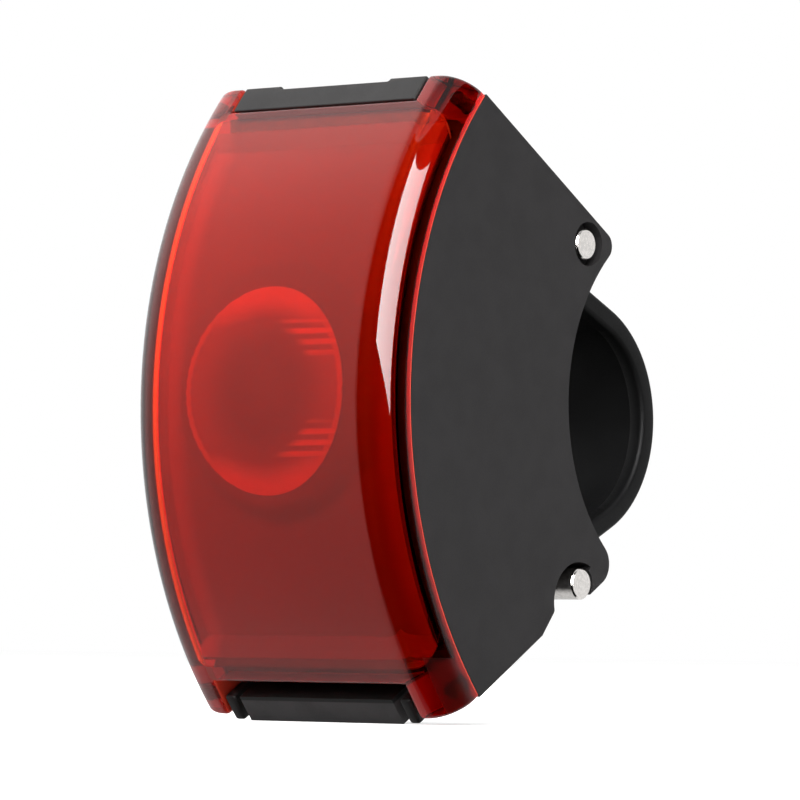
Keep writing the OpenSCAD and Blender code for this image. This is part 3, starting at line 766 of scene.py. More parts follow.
@dataclass(frozen=True)
class OpticFinish:
    """Moulded optic: a thin ring round a duller middle, with a painted glow towards its top and bottom, a
    painted haze rising towards the ring, and painted glints in streaks on its right side, away from its
    middle height.

    Lengths are in millimetres from the optic's middle.
    """

    name: str = "optic_amber"
    middle: Colour = (0.26, 0.21, 0.19)
    ring: Colour = (1.0, 0.95, 0.3)
    ring_from: float = 7.2
    ring_to: float = 7.7
    ring_share: float = 0.75
    painted_glow_from: float = 4.4
    painted_glow_lift: Point2 = (3.0, 7.0)
    painted_haze_from: float = 3.0
    painted_haze_share: float = 0.32
    flute_pitch: float = 0.85
    glint_wave: Point2 = (-0.9, 0.6)
    glint_cloud: Point2 = (0.3, 0.55)
    glint_rise: Point2 = (4.4, 5.6)
    glint_aside: Point2 = (-0.5, 3.0)
    glint_lift: Point2 = (1.5, 3.5)
    cloud: float = 1.6
    depth: float = 0.004
    roughness: float = 0.6
    specular: float = 0.15

    def material(self) -> bpy.types.Material:
        """Builds the finish as a node material and returns it."""
        shader = Shader(self.name)
        at = shader.apart()
        radius = shader.distance(at[Axis.ACROSS], at[Axis.UP])
        lifted = shader.absolute(at[Axis.UP])
        ring = shader.fade(radius, self.ring_from, self.ring_to, 0, self.ring_share)
        # Painted light in the ring's colour: a glow towards the top and bottom, a haze rising towards the
        # ring, and glints in streaks on the right side.
        rise = shader.fade(radius, self.painted_glow_from, self.ring_to)
        glow = shader.every(rise, shader.fade(lifted, *self.painted_glow_lift))
        painted_haze = shader.fade(radius, self.painted_haze_from, self.ring_to, 0, self.painted_haze_share)
        wave = shader.sum("SINE", shader.times(at[Axis.UP], math.tau / (self.flute_pitch * MM)))
        cloud = shader.noise(self.cloud, detail=2, stretch=Axis.ACROSS)
        painted_glints = shader.every(
            shader.ramp(wave, *self.glint_wave),
            shader.ramp(cloud, *self.glint_cloud),
            shader.fade(radius, *self.glint_rise),
            shader.fade(at[Axis.ACROSS], *self.glint_aside),
            shader.fade(lifted, *self.glint_lift),
        )
        bright = shader.either(ring, glow, painted_haze, painted_glints)
        shader.give("Base Color", shader.mix(bright, self.middle, self.ring))
        shader.give("Roughness", self.roughness)
        shader.give("Specular IOR Level", self.specular)
        shader.bump(cloud, self.depth, off_post=True)
        return shader.material


@dataclass(frozen=True)
class PanelFinish:
    """A moulded panel with painted light: lighter on the left of its middle and darker to the right, and
    paler along its two sides, most on the left.
    """

    name: str = "panel_white"
    left: Colour = (0.3, 0.29, 0.28)
    right: Colour = (0.21, 0.2, 0.19)
    left_edge_light: Colour = (0.58, 0.56, 0.54)
    right_edge_light: Colour = (0.33, 0.32, 0.31)
    border_from: float = 8.8
    border_to: float = 11.2
    roughness: float = 0.45
    roughness_change: float = 0.05
    grain: float = 0.3
    depth: float = 0.004
    off_post: bool = False

    def material(self) -> bpy.types.Material:
        """Builds the finish as a node material and returns it."""
        shader = Shader(self.name)
        across = shader.apart()[Axis.ACROSS]
        # Painted light: the middle darkens from left to right, and both sides are paler, the left one most.
        middle = shader.mix(shader.fade(across, -self.border_from, self.border_from), self.left, self.right)
        edge_lights = shader.mix(shader.beyond(across, 0, Edge.WIDE), self.left_edge_light, self.right_edge_light)
        border = shader.fade(shader.absolute(across), self.border_from, self.border_to)
        shader.give("Base Color", shader.mix(border, middle, edge_lights))
        grain = shader.noise(self.grain)
        shader.roughen(grain, self.roughness, self.roughness_change)
        shader.bump(grain, self.depth, self.off_post)
        return shader.material


@dataclass(frozen=True)
class BowlFinish:
    """A reflector bowl: plated inside, with a bare white lip round the optic."""

    name: str = "bowl_plating"
    plating: Colour = (0.75, 0.74, 0.73)
    lip: Colour = (0.3, 0.29, 0.28)
    lip_from: float = 7.1
    plating_roughness: float = 0.15
    lip_roughness: float = 0.5
    grain: float = 0.5
    depth: float = 0.003

    def material(self) -> bpy.types.Material:
        """Builds the finish as a node material and returns it."""
        shader = Shader(self.name)
        at = shader.apart()
        radius = shader.distance(at[Axis.ACROSS], at[Axis.UP])
        plated = shader.within(radius, self.lip_from, Edge.SOFT)
        shader.give("Base Color", shader.mix(plated, self.lip, self.plating))
        shader.give("Metallic", plated)
        shader.give("Roughness", shader.ramp(plated, 0, 1, self.lip_roughness, self.plating_roughness))
        shader.bump(shader.noise(self.grain), self.depth)
        return shader.material


def dress(node: str, finish: Finish) -> bpy.types.Object:
    """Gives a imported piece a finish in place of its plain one.

    Args:
        node: The piece's name.
        finish: The finish.

    Returns:
        The piece.
    """
    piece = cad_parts[node]
    piece.data.materials.clear()
    piece.data.materials.append(finish.material())
    return piece


def soften(piece: bpy.types.Object, radius: float) -> None:
    """Rounds a piece's sharp edges.

    Args:
        piece: The piece.
        radius: Size of the rounding in millimetres.
    """
    weld = piece.modifiers.new("weld", "WELD")
    weld.merge_threshold = WELD_GAP
    flat = piece.modifiers.new("flat", "DECIMATE")
    flat.decimate_type = "DISSOLVE"
    flat.angle_limit = FLAT_ANGLE
    edges = piece.modifiers.new("edges", "BEVEL")
    edges.width = radius * MM
    edges.segments = EDGE_SEGMENTS
    edges.limit_method = "ANGLE"
    edges.angle_limit = EDGE_ANGLE
    edges.miter_outer = "MITER_ARC"
    normals = piece.modifiers.new("normals", "WEIGHTED_NORMAL")
    normals.keep_sharp = False
    normals.weight = FACE_WEIGHT


def centre(node: str) -> Point2:
    """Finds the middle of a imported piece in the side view.

    Args:
        node: The piece's name.

    Returns:
        Its Y and Z in metres.
    """
    low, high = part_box(node)
    middle = (low + high) / 2
    return (middle.y, middle.z)


def join(bm: Mesh, near: Line, far: Line, closed: bool = False) -> None:
    """Joins two lines of corners with faces.

    Args:
        bm: The mesh to add to.
        near: The first line.
        far: The second line, with as many corners. Corners may be shared.
        closed: Whether the last corners are joined to the first.
    """
    pairs = list(zip(near, far))
    if closed:
        pairs.append(pairs[0])
    for (start, across), (ahead, opposite) in zip(pairs, pairs[1:]):
        bm.faces.new(list(dict.fromkeys((start, ahead, opposite, across))))


def edges_along(bm: Mesh, line: Line, closed: bool = False) -> Edges:
    """Lists the edges between neighbouring corners of a line.

    Args:
        bm: The mesh.
        line: The corners. A corner may be given twice.
        closed: Whether the last corner is a neighbour of the first.

    Returns:
        The edges in their order.
    """
    after = line[1:] + line[:1] if closed else line[1:]
    return [bm.edges.get(pair) for pair in zip(line, after) if pair[0] != pair[1]]


def make_object(bm: Mesh, name: str, material: bpy.types.Material) -> bpy.types.Object:
    """Makes a mesh into an object of the scene.

    Args:
        bm: The mesh in metres, which is freed.
        name: The object's name.
        material: What it is made of.

    Returns:
        The object.
    """
    mesh = bpy.data.meshes.new(name)
    bm.to_mesh(mesh)
    bm.free()
    mesh.materials.append(material)
    made = bpy.data.objects.new(name, mesh)
    bpy.context.scene.collection.objects.link(made)
    return made


def make_smooth(bm: Mesh, name: str, finish: Finish) -> bpy.types.Object:
    """Makes a closed mesh into a smooth piece.

    Args:
        bm: The mesh in metres, which is freed.
        name: The piece's name.
        finish: Its finish.

    Returns:
        The piece.
    """
    bmesh.ops.recalc_face_normals(bm, faces=bm.faces)
    piece = make_object(bm, name, finish.material())
    piece.data.shade_smooth()
    return piece


def make_moulding(bm: Mesh, name: str, finish: Finish) -> bpy.types.Object:
    """Makes a closed mesh into a smooth piece with creases, which rides on the housing.

    Args:
        bm: The mesh in millimetres, which is freed.
        name: The piece's name.
        finish: Its finish.

    Returns:
        The piece.
    """
    bmesh.ops.scale(bm, vec=(MM, MM, MM), verts=bm.verts)
    piece = make_smooth(bm, name, finish)
    piece.data.set_sharp_from_angle(angle=CREASE_ANGLE)
    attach(piece, "housing")
    return piece


@dataclass
class Housing:
    """The black housing with its saddle and lugs."""

    edge_r: float = 0.2
    finish: MouldedFinish = MouldedFinish(
        "housing_black", (0.014, 0.0128, 0.0134), 0.55, grain=0.1, depth=0.006, specular=0.3
    )

    def dress(self) -> list[str]:
        """Gives the housing its finish and rounds its edges.

        Returns:
            Names of the dressed pieces.
        """
        piece = dress("housing", self.finish)
        soften(piece, self.edge_r)
        return [piece.name]


@dataclass(frozen=True)
class LensColumn:
    """A line over the lens from its bottom end to its top end.

    It runs at a distance away from the lens's axis, or from the post's axis where that is said. Its lean is
    the angle between the lens's surface there and its front.
    """

    x_low: float
    x_high: float
    away: float
    lean: float
    about_post: bool = False

    def mirrored(self) -> "LensColumn":
        """Returns the same line on the other side."""
        return LensColumn(-self.x_low, -self.x_high, self.away, -self.lean, self.about_post)


@dataclass
class RimSpot:
    """A corner on the edge of the lens's grid, with the way its rounded rim goes on from there."""

    vertex: bmesh.types.BMVert
    column: LensColumn
    above: float
    across: float
    outward: float


@dataclass(frozen=True)
class Lens(LensShape):
    """The curved red lens with an ear at each corner, its rounded rims and the seal under it.

    Its skin is a grid: columns run over its section from one side to the other, rows run from the bottom end
    to the top end.
    """

    rim_steps: int = 5
    corner_steps: int = 10
    front_steps: int = 12
    ear_steps: int = 3
    middle_steps: int = 48
    peg_steps: int = 20
    same_x: float = 1e-6
    finish: LensFinish = LensFinish()
    seal: MouldedFinish = MouldedFinish("lens_seal", (0.02, 0.02, 0.02), 0.6)

    def on_end(self, end: LensEnd, x: float, along: float, above: float) -> Vector:
        """Places a point given along and above an end face.

        Args:
            end: The end.
            x: Place across the lens.
            along: Distance along the end face from the post's axis, negative to the front.
            above: Height above the end's plane.

        Returns:
            The point.
        """
        y = along * math.cos(END_SLOPE) + above * math.sin(END_SLOPE)
        z = end.side * (above * math.cos(END_SLOPE) - along * math.sin(END_SLOPE))
        return Vector((x, y, z))

    def above(self, end: LensEnd, point: Vector) -> float:
        """Returns a point's height above an end's plane."""
        return point.y * math.sin(END_SLOPE) + end.side * point.z * math.cos(END_SLOPE)

    def on_curve(self, end: LensEnd, x: float, above: float, away: float) -> Vector:
        """Returns the point at a height above an end's plane and a distance away from the post's axis."""
        return self.on_end(end, x, -math.sqrt(away**2 - above**2), above)

    def on_turn(self, x: float, away: float, angle: float) -> Vector:
        """Returns the point at an angle on the turned lens, at a distance away from its axis."""
        return Vector((x, -away * math.cos(angle), away * math.sin(angle) - self.drop))

    def spot(
        self, end: LensEnd, column: LensColumn, above: float, aside: float = 0, depth: float = 0
    ) -> Vector:
        """Places a point on a column near an end.

        Args:
            end: The end.
            column: The column.
            above: Height above the end's plane.
            aside: Shift across the lens.
            depth: Depth below the lens's surface.

        Returns:
            The point.
        """
        x = column.x_high if end.side > 0 else column.x_low
        x += aside - depth * math.sin(column.lean)
        if column.about_post:
            return self.on_curve(end, x, above, column.away)
        away = column.away - depth * math.cos(column.lean)
        lift = above + end.side * self.drop * math.cos(END_SLOPE)
        return self.on_turn(x, away, end.side * (END_SLOPE + math.asin(lift / away)))

    def angle(self, point: Vector) -> float:
        """Returns a point's angle about the lens's axis, upwards from the front."""
        return math.atan2(point.z + self.drop, -point.y)

    def middle(self, column: LensColumn, low: float, high: float) -> list[Vector]:
        """Lists a column's points between two heights, one above each end's plane.

        Args:
            column: The column.
            low: Height above the bottom end's plane.
            high: Height above the top end's plane.

        Returns:
            The column's points, both ends included.
        """
        start = self.angle(self.spot(self.bottom, column, low))
        end = self.angle(self.spot(self.top, column, high))
        points = []
        for step in range(self.middle_steps + 1):
            share = step / self.middle_steps
            angle = start + (end - start) * share
            away = column.away
            if column.about_post:
                drop = self.drop
                away = drop * math.sin(angle) + math.sqrt(away**2 - (drop * math.cos(angle)) ** 2)
            points.append(self.on_turn(column.x_low + (column.x_high - column.x_low) * share, away, angle))
        return points

    def side_columns(self, foot: Point2, half_w: float, front: float, corner: float) -> list[LensColumn]:
        """Lists the columns from the right side of a section to the start of its flat front.

        Args:
            foot: Place across of the section's foot, and its distance from the post's axis.
            half_w: Half the section's width.
            front: Distance of its front from the lens's axis.
            corner: Rounding of its corner.

        Returns:
            The columns, from the foot inwards.
        """
        columns = [LensColumn(foot[0], foot[0], foot[1], math.pi / 2, about_post=True)]
        for step in range(self.corner_steps + 1):
            lean = math.pi / 2 * (1 - step / self.corner_steps)
            x = half_w - corner + corner * math.sin(lean)
            columns.append(LensColumn(x, x, front - corner + corner * math.cos(lean), lean))
        return columns

    def ear_heights(self, end: LensEnd) -> list[float]:
        """Returns the heights of an ear's rows, from its tip to its notch's floor."""
        drop = (end.reach - end.floor) / self.ear_steps
        return [end.reach - self.rim_r - drop * step for step in range(self.ear_steps + 1)]

    def build_skin(self, bm: Mesh) -> Edges:
        """Builds the outer skin with its rounded rims and the end walls below them.

        Args:
            bm: The mesh to add to.

        Returns:
            The closed line where the skin and the walls meet the seam.
        """
        low = self.bottom.notch_half_w + self.rim_r
        high = self.top.notch_half_w + self.rim_r
        right = self.side_columns((self.half_w, self.seam_r), self.half_w, self.radius, self.corner)
        right.append(LensColumn(low, high, self.radius, 0))
        shares = [1 - 2 * step / self.front_steps for step in range(1, self.front_steps)]
        front = [LensColumn(share * low, share * high, self.radius, 0) for share in shares]
        columns = right + front + [column.mirrored() for column in reversed(right)]
        ears = len(right)
        grid = []
        for index, column in enumerate(columns):
            points = self.middle(column, self.bottom.floor - self.rim_r, self.top.floor - self.rim_r)
            tips: list[list[Vector]] = [[], []]
            if index < ears or index >= len(columns) - ears:
                for tip, end in zip(tips, (self.bottom, self.top)):
                    tip += [self.spot(end, column, above) for above in self.ear_heights(end)[:-1]]
            grid.append([bm.verts.new(point) for point in tips[0] + points + tips[1][::-1]])
        self.fill_grid(bm, grid, ears)
        seam = edges_along(bm, grid[0]) + edges_along(bm, grid[-1])
        for end in (self.bottom, self.top):
            loops = self.round_rim(bm, self.rim(columns, grid, ears, end), end)
            for near, far in zip(loops, loops[1:]):
                seam += [bm.edges.get((near[place], far[place])) for place in (0, -1)]
            seam += self.end_wall(bm, loops[-1], end)
        return seam

    def fill_grid(self, bm: Mesh, grid: list[Line], ears: int) -> None:
        """Joins neighbouring columns of the skin with faces.

        Args:
            bm: The mesh to add to.
            grid: The columns; those across the notches lack the ears' rows.
            ears: Number of columns over each pair of ears.
        """
        tip = self.ear_steps
        for index in range(len(grid) - 1):
            pair = [grid[index], grid[index + 1]]
            if ears - 1 <= index < len(grid) - ears:
                pair = [line[tip:-tip] if len(line) == len(grid[0]) else line for line in pair]
            join(bm, *pair)

    def rim(self, columns: list[LensColumn], grid: list[Line], ears: int, end: LensEnd) -> list[RimSpot]:
        """Follows the grid's edge round an end: over an ear, into the notch, across it and out again.

        Args:
            columns: The grid's columns.
            grid: Their corners.
            ears: Number of columns over each pair of ears.
            end: The end.

        Returns:
            The rim's spots, from the right side to the left.
        """
        lines = [line[::-1] if end.side > 0 else line for line in grid]
        heights = self.ear_heights(end)
        tip, floor = heights[0], heights[-1]
        edge = ears - 1
        half = [RimSpot(lines[index][0], columns[index], tip, 0, 1) for index in range(edge)]
        for step in range(self.rim_steps + 1):
            turn = math.pi / 2 * step / self.rim_steps
            half.append(RimSpot(lines[edge][0], columns[edge], tip, -math.sin(turn), math.cos(turn)))
        for row in range(1, self.ear_steps):
            half.append(RimSpot(lines[edge][row], columns[edge], heights[row], -1, 0))
        half.append(RimSpot(lines[edge][self.ear_steps], columns[edge], floor, -1, 1))
        across = range(ears, len(columns) - ears)
        floor_spots = [RimSpot(lines[index][0], columns[index], floor, 0, 1) for index in across]
        other = []
        for spot in reversed(half):
            index = columns.index(spot.column)
            row = lines[index].index(spot.vertex)
            place = len(columns) - 1 - index
            other.append(RimSpot(lines[place][row], columns[place], spot.above, -spot.across, spot.outward))
        return half + floor_spots + other

    def round_rim(self, bm: Mesh, rim: list[RimSpot], end: LensEnd) -> list[Line]:
        """Rounds the lens's surface over into an end wall.

        Args:
            bm: The mesh to add to.
            rim: The edge of the grid.
            end: The end.

        Returns:
            The lines from the edge of the grid to the top of the wall.
        """
        loops = [[spot.vertex for spot in rim]]
        for step in range(1, self.rim_steps + 1):
            turn = math.pi / 2 * step / self.rim_steps
            out = self.rim_r * math.sin(turn)
            depth = self.rim_r * (1 - math.cos(turn))
            loop = []
            for spot in rim:
                height = spot.above + out * spot.outward
                loop.append(bm.verts.new(self.spot(end, spot.column, height, out * spot.across, depth)))
            loops.append(loop)
        for near, far in zip(loops, loops[1:]):
            join(bm, near, far)
        return loops

    def end_wall(self, bm: Mesh, rim: Line, end: LensEnd, foot: float | None = None) -> Edges:
        """Closes an end between a rim and the seam.

        Args:
            bm: The mesh to add to.
            rim: The rim's corners. The first and the last are feet that the corners outside them share.
            end: The end.
            foot: Height above the end's plane of a foot that reaches down to the panel, if it does.

        Returns:
            The wall's line along the seam.
        """
        edge = abs(rim[0].co.x) - self.same_x
        feet = []
        for corner in rim:
            x = corner.co.x
            if abs(x) >= edge:
                feet.append(rim[0] if x * rim[0].co.x > 0 else rim[-1])
                continue
            height, away = (self.above(end, corner.co), self.seam_r) if foot is None else (foot, self.foot_r)
            feet.append(bm.verts.new(self.on_curve(end, x, height, away)))
        join(bm, rim[1:-1], feet[1:-1])
        return edges_along(bm, feet[1:-1])

    def build_hollow(self, bm: Mesh) -> Edges:
        """Builds the hollow behind the lens's front.

        Args:
            bm: The mesh to add to.

        Returns:
            The closed line of its mouth on the seam.
        """
        inner_r = self.radius - self.wall
        inner_w = self.half_w - self.wall
        foot = (inner_w - self.side_lean, self.foot_r)
        right = self.side_columns(foot, inner_w, inner_r, self.corner - self.wall)
        columns = right + [LensColumn(0, 0, inner_r, 0)] + [column.mirrored() for column in reversed(right)]
        grid = []
        for column in columns:
            low, high = (self.hollow_height(end, column) for end in (self.bottom, self.top))
            grid.append([bm.verts.new(point) for point in self.middle(column, low, high)])
        for near, far in zip(grid, grid[1:]):
            join(bm, near, far)
        mouth = edges_along(bm, grid[0]) + edges_along(bm, grid[-1])
        mouth += self.end_wall(bm, [line[0] for line in grid], self.bottom, self.bottom.hollow_foot)
        mouth += self.end_wall(bm, [line[-1] for line in grid], self.top, self.top.hollow_foot)
        return mouth

    def hollow_height(self, end: LensEnd, column: LensColumn) -> float:
        """Returns how far the hollow reaches along a column, less at its foot than at its ceiling."""
        share = (column.away - self.foot_r) / (self.radius - self.wall - self.foot_r)
        return end.hollow_foot + share * (end.hollow - end.hollow_foot)

    def build_peg_hole(self, bm: Mesh, end: LensEnd, x: float) -> Edges:
        """Builds the blind hole in an ear that takes one of the housing's pegs.

        Args:
            bm: The mesh to add to.
            end: The end.
            x: Place across.

        Returns:
            The closed line of its mouth on the seam.
        """
        mouth = []
        cap = []
        for step in range(self.peg_steps):
            turn = math.tau * step / self.peg_steps
            place = x + self.peg_r * math.cos(turn)
            above = end.peg_above + self.peg_r * math.sin(turn)
            mouth.append(bm.verts.new(self.on_curve(end, place, above, self.seam_r)))
            cap.append(bm.verts.new(self.on_end(end, place, -self.peg_top, above)))
        bm.faces.new(cap)
        join(bm, mouth, cap, closed=True)
        return edges_along(bm, mouth, closed=True)

    def build(self) -> bpy.types.Object:
        """Builds the lens in place of its plain solid.

        Returns:
            The lens.
        """
        bm = bmesh.new()
        seam = self.build_skin(bm) + self.build_hollow(bm)
        for end in (self.bottom, self.top):
            for x in (-self.peg_x, self.peg_x):
                seam += self.build_peg_hole(bm, end, x)
        bmesh.ops.triangle_fill(bm, use_beauty=True, use_dissolve=False, edges=seam, normal=(0, 1, 0))
        lens = make_moulding(bm, "lens_red", replace(self.finish, shape=self))
        normals = lens.modifiers.new("normals", "WEIGHTED_NORMAL")
        normals.keep_sharp = True
        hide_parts("lens")
        return lens

    def dress(self) -> list[str]:
        """Builds the lens and gives its seal a finish.

        Returns:
            Names of the dressed pieces.
        """
        return [self.build().name, dress("lens_gasket", self.seal).name]


@dataclass
class Lamp:
    """The reflector panel, the bowl with its optic and the small lamps behind the lens.

    Sizes are in millimetres. The optic's front follows the lens's curve, and a thin collar runs from the
    optic's edge over the bowl's lip to the panel.
    """

    lens: LensShape = LensShape()
    panel: PanelFinish = PanelFinish()
    bowl: BowlFinish = BowlFinish()
    optic: OpticFinish = OpticFinish()
    dome: MouldedFinish = MouldedFinish("lamp_dome", (0.8, 0.55, 0.12), 0.2, mottle=0.1)
    trim: PanelFinish = PanelFinish("trim_white", off_post=True)
    optic_r: float = 8.0
    crest_r: float = 36.85
    flute_h: float = 0.12
    flute_steps: int = 6
    optic_columns: int = 24
    trim_in_r: float = 8.02
    trim_mid_r: float = 8.85
    trim_out_r: float = 10.0
    trim_t: float = 0.15
    trim_proud: float = 0.03
    trim_steps: int = 128

    def front(self, z: float, fluted: bool = True) -> float:
        """Finds the optic's curved front.

        Args:
            z: Height above the post's axis.
            fluted: Whether the flutes count.

        Returns:
            The front's Y at that height.
        """
        ridge = abs(math.cos(math.pi * z / self.optic.flute_pitch)) if fluted else 0
        radius = self.crest_r - self.flute_h * (1 - ridge)
        return -math.sqrt(radius**2 - (z + self.lens.drop) ** 2)

    def build_optic(self) -> bpy.types.Object:
        """Builds the optic with a curved, fluted front in place of its flat solid.

        Returns:
            The optic.
        """
        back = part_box("optic_disc")[1].y / MM
        rows = 2 * round(self.optic_r / self.optic.flute_pitch) * self.flute_steps
        shares = [2 * column / self.optic_columns - 1 for column in range(self.optic_columns + 1)]
        bm = bmesh.new()
        grids: list[list[Line]] = [[], []]
        for row in range(rows + 1):
            turn = math.pi * (row + 0.5) / (rows + 1)
            z = -self.optic_r * math.cos(turn)
            half_w = self.optic_r * math.sin(turn)
            for grid, y in zip(grids, (self.front(z), back)):
                grid.append([bm.verts.new((half_w * share, y, z)) for share in shares])
        for grid in grids:
            for low, high in zip(grid, grid[1:]):
                join(bm, low, high)
        join(bm, *(self.border(grid) for grid in grids), closed=True)
        optic = make_moulding(bm, "optic_fluted", self.optic)
        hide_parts("optic_disc")
        return optic

    def border(self, grid: list[Line]) -> Line:
        """Follows the border of a grid.

        Args:
            grid: The grid's rows.

        Returns:
            The border's corners, once round.
        """
        right = [line[-1] for line in grid[1:]]
        left = [line[0] for line in grid[1:-1]]
        return grid[0] + right + grid[-1][-2::-1] + left[::-1]

    def build_trim(self) -> bpy.types.Object:
        """Builds the thin collar from the optic's edge over the bowl's lip to the curved panel.

        Returns:
            The collar.
        """
        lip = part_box("reflector_bowl")[0].y / MM
        panel_r = -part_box("reflector_panel")[0].y / MM
        radii = (self.trim_in_r, self.trim_mid_r, self.trim_out_r)
        faces: list[list[Vector]] = [[], [], []]
        for step in range(self.trim_steps):
            turn = step * math.tau / self.trim_steps
            edge = min(self.front(self.trim_in_r * math.sin(turn), fluted=False), lip)
            sunk = -math.sqrt(panel_r**2 - (self.trim_out_r * math.sin(turn)) ** 2)
            for line, radius, y in zip(faces, radii, (edge, (edge + lip) / 2, sunk)):
                line.append(Vector((radius * math.cos(turn), y - self.trim_proud, radius * math.sin(turn))))
        bm = bmesh.new()
        behind = Vector((0, self.trim_t, 0))
        rings = [[bm.verts.new(point) for point in line] for line in faces]
        rings += [[bm.verts.new(point + behind) for point in line] for line in reversed(faces)]
        for low, high in zip(rings, rings[1:] + rings[:1]):
            join(bm, low, high, closed=True)
        trim = make_moulding(bm, "bowl_trim", self.trim)
        return trim

    def dress(self) -> list[str]:
        """Gives the lamp's pieces their finishes, and builds the optic and its collar.

        Returns:
            Names of the dressed pieces.
        """
        pieces = [
            dress("reflector_panel", self.panel),
            dress("reflector_bowl", self.bowl),
            dress("led_emitter", self.dome),
            dress("side_leds", self.dome),
            self.build_optic(),
            self.build_trim(),
        ]
        return [piece.name for piece in pieces]


@dataclass
class PortCover:
    """The hinged cover over the charging port."""

    edge_r: float = 0.22
    seal_edge_r: float = 0.1
    pin_pitch: float = 0.15
    plastic: MouldedFinish = MouldedFinish(
        "cover_black", (0.02, 0.019, 0.019), 0.5, grain=0.1, depth=0.005, specular=0.3
    )
    seal: MouldedFinish = MouldedFinish("cover_seal_rubber", (0.02, 0.02, 0.02), 0.65)

    def dress(self) -> list[str]:
        """Gives the cover's pieces their finishes and rounds their edges.

        Returns:
            Names of the dressed pieces.
        """
        cover = dress("port_cover", self.plastic)
        soften(cover, self.edge_r)
        seal = dress("cover_seal", self.seal)
        soften(seal, self.seal_edge_r)
        steel = TurnedSteelFinish("cover_pin_steel", centre("cover_pin"), pitch=self.pin_pitch)
        pin = dress("cover_pin", steel)
        return [piece.name for piece in (cover, seal, pin)]


@dataclass
class ButtonSet:
    """The push button in the bottom end, with its bezel and sealing ring."""

    edge_r: float = 0.3
    # Painted light: the button's black is lighter than the bezel's, standing in for light from the pale
    # ground below.
    button: ButtonFinish = ButtonFinish(
        "button_black", (0.037, 0.034, 0.035), 0.5, grain=0.1, depth=0.005, specular=0.3
    )
    bezel: MouldedFinish = MouldedFinish(
        "bezel_black", (0.009, 0.008, 0.008), 0.5, grain=0.1, depth=0.005, specular=0.25
    )
    ring: MouldedFinish = MouldedFinish("ring_rubber", (0.02, 0.02, 0.02), 0.65)

    def dress(self) -> list[str]:
        """Gives the button's pieces their finishes and rounds their edges.

        Returns:
            Names of the dressed pieces.
        """
        button = dress("power_button", self.button)
        soften(button, self.edge_r)
        bezel = dress("button_bezel", self.bezel)
        soften(bezel, self.edge_r)
        ring = dress("button_seal", self.ring)
        return [piece.name for piece in (button, bezel, ring)]


@dataclass
class Electronics:
    """The boards, the cell and the small pieces inside the housing."""

    board: MouldedFinish = MouldedFinish(
        "board_green", (0.02, 0.16, 0.06), 0.35, grain=0.2, depth=0.002, mottle=0.25
    )
    chip: MouldedFinish = MouldedFinish("chip_black", (0.02, 0.02, 0.022), 0.4, grain=0.06)
    steel: SheetFinish = SheetFinish("socket_steel", (0.72, 0.71, 0.69), 0.25)
    foil: SheetFinish = SheetFinish("cell_foil", (0.7, 0.7, 0.72), 0.3, lines=0.8, depth=0.01)
    foam: MouldedFinish = MouldedFinish("foam_grey", (0.06, 0.06, 0.065), 0.9, grain=0.35, depth=0.08)
    wire: MouldedFinish = MouldedFinish("wire_red", (0.45, 0.02, 0.015), 0.4)
    flex: MouldedFinish = MouldedFinish("flex_amber", (0.5, 0.22, 0.03), 0.3, mottle=0.2)
    plunger: MouldedFinish = MouldedFinish("plunger_red", (0.4, 0.02, 0.02), 0.4)

    def dress(self) -> list[str]:
        """Gives the inner pieces their finishes.

        Returns:
            Names of the dressed pieces.
        """
        finishes: dict[str, Finish] = {
            "main_board": self.board,
            "port_board": self.board,
            "switch_board": self.board,
            "driver_chips": self.chip,
            "tact_switch": self.chip,
            "usb_tongue": self.chip,
            "board_screws": self.steel,
            "usb_socket": self.steel,
            "battery_cell": self.foil,
            "battery_pad": self.foam,
            "battery_leads": self.wire,
            "port_flex": self.flex,
            "switch_flex": self.flex,
            "switch_plunger": self.plunger,
        }
        return [dress(node, finish).name for node, finish in finishes.items()]


@dataclass
class Bars:
    """The two turned steel bars that carry the strap."""

    nodes: tuple[str, str] = ("upper_pin", "hook_bar")

    def dress(self) -> list[str]:
        """Gives both bars a turned finish about their own axes.

        Returns:
            Names of the dressed pieces.
        """
        names = []
        for node in self.nodes:
            names.append(dress(node, TurnedSteelFinish(f"{node}_steel", centre(node))).name)
        return names


